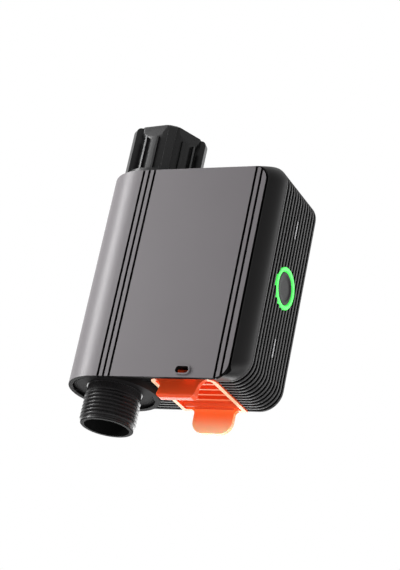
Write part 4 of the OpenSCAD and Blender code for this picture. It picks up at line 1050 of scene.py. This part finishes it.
def seenDirectly(tree):  # 1 for what the camera sees, also in gloss and through clear pieces
    rays = tree.nodes.new("ShaderNodeLightPath")
    mirrored = tree.nodes.new("ShaderNodeMath")
    mirrored.operation = "MAXIMUM"
    seen = tree.nodes.new("ShaderNodeMath")
    seen.operation = "MAXIMUM"
    tree.links.new(rays.outputs["Is Glossy Ray"], mirrored.inputs[0])
    tree.links.new(rays.outputs["Is Transmission Ray"], mirrored.inputs[1])
    tree.links.new(rays.outputs["Is Camera Ray"], seen.inputs[0])
    tree.links.new(mirrored.outputs["Value"], seen.inputs[1])
    return seen.outputs["Value"]


roomSpec = {"white": (1.0, 1.0, 1.0, 1.0), "lightLevel": 0.12, "seenLevel": 1.0}
world = bpy.data.worlds.new("paleRoom")
scene.world = world
world.use_nodes = True
worldMade, worldLinks = world.node_tree.nodes, world.node_tree.links
roomLight = worldMade["Background"]
whiteBack = worldMade.new("ShaderNodeBackground")
for back, level in ((roomLight, roomSpec["lightLevel"]), (whiteBack, roomSpec["seenLevel"])):
    setInputs(back, {"Color": roomSpec["white"], "Strength": level})
choose = worldMade.new("ShaderNodeMixShader")
worldLinks.new(seenDirectly(world.node_tree), choose.inputs["Fac"])
worldLinks.new(roomLight.outputs["Background"], choose.inputs[1])
worldLinks.new(whiteBack.outputs["Background"], choose.inputs[2])
worldLinks.new(choose.outputs["Shader"], worldMade["World Output"].inputs["Surface"])

floorSpec = {
    "height": -1.1, "half": 30.0, "squares": 8, "white": 0.93,
    "look": {"color": (0.86, 0.86, 0.86), "rough": 0.6, "grain": 300, "cloud": 3, "mottle": 0.01,
             "relief": 0.05, "specular": 0.1},
}
floorMesh = bmesh.new()
bmesh.ops.create_grid(floorMesh, x_segments=floorSpec["squares"], y_segments=floorSpec["squares"],
                      size=floorSpec["half"])
bmesh.ops.translate(floorMesh, vec=(0, 0, floorSpec["height"]), verts=floorMesh.verts)
floorData = meshOf(floorMesh, "paleFloor")
floorMaterial = mouldedPlastic("paleFloor", floorSpec["look"])
floorTree = floorMaterial.node_tree
floorMade, floorLinks = floorTree.nodes, floorTree.links
whiteFloor = floorMade.new("ShaderNodeEmission")
whiteShare = floorMade.new("ShaderNodeMath")
whiteShare.operation = "MULTIPLY"
whiteShare.inputs[1].default_value = floorSpec["white"]
floorMix = floorMade.new("ShaderNodeMixShader")
floorLinks.new(seenDirectly(floorTree), whiteShare.inputs[0])
floorLinks.new(whiteShare.outputs["Value"], floorMix.inputs["Fac"])
floorLinks.new(floorMade["Principled BSDF"].outputs["BSDF"], floorMix.inputs[1])
floorLinks.new(whiteFloor.outputs["Emission"], floorMix.inputs[2])
floorLinks.new(floorMix.outputs["Shader"], floorMade["Material Output"].inputs["Surface"])
floorData.materials.append(floorMaterial)
paleFloor = bpy.data.objects.new("paleFloor", floorData)
scene.collection.objects.link(paleFloor)
print("camera, light and floor ready")
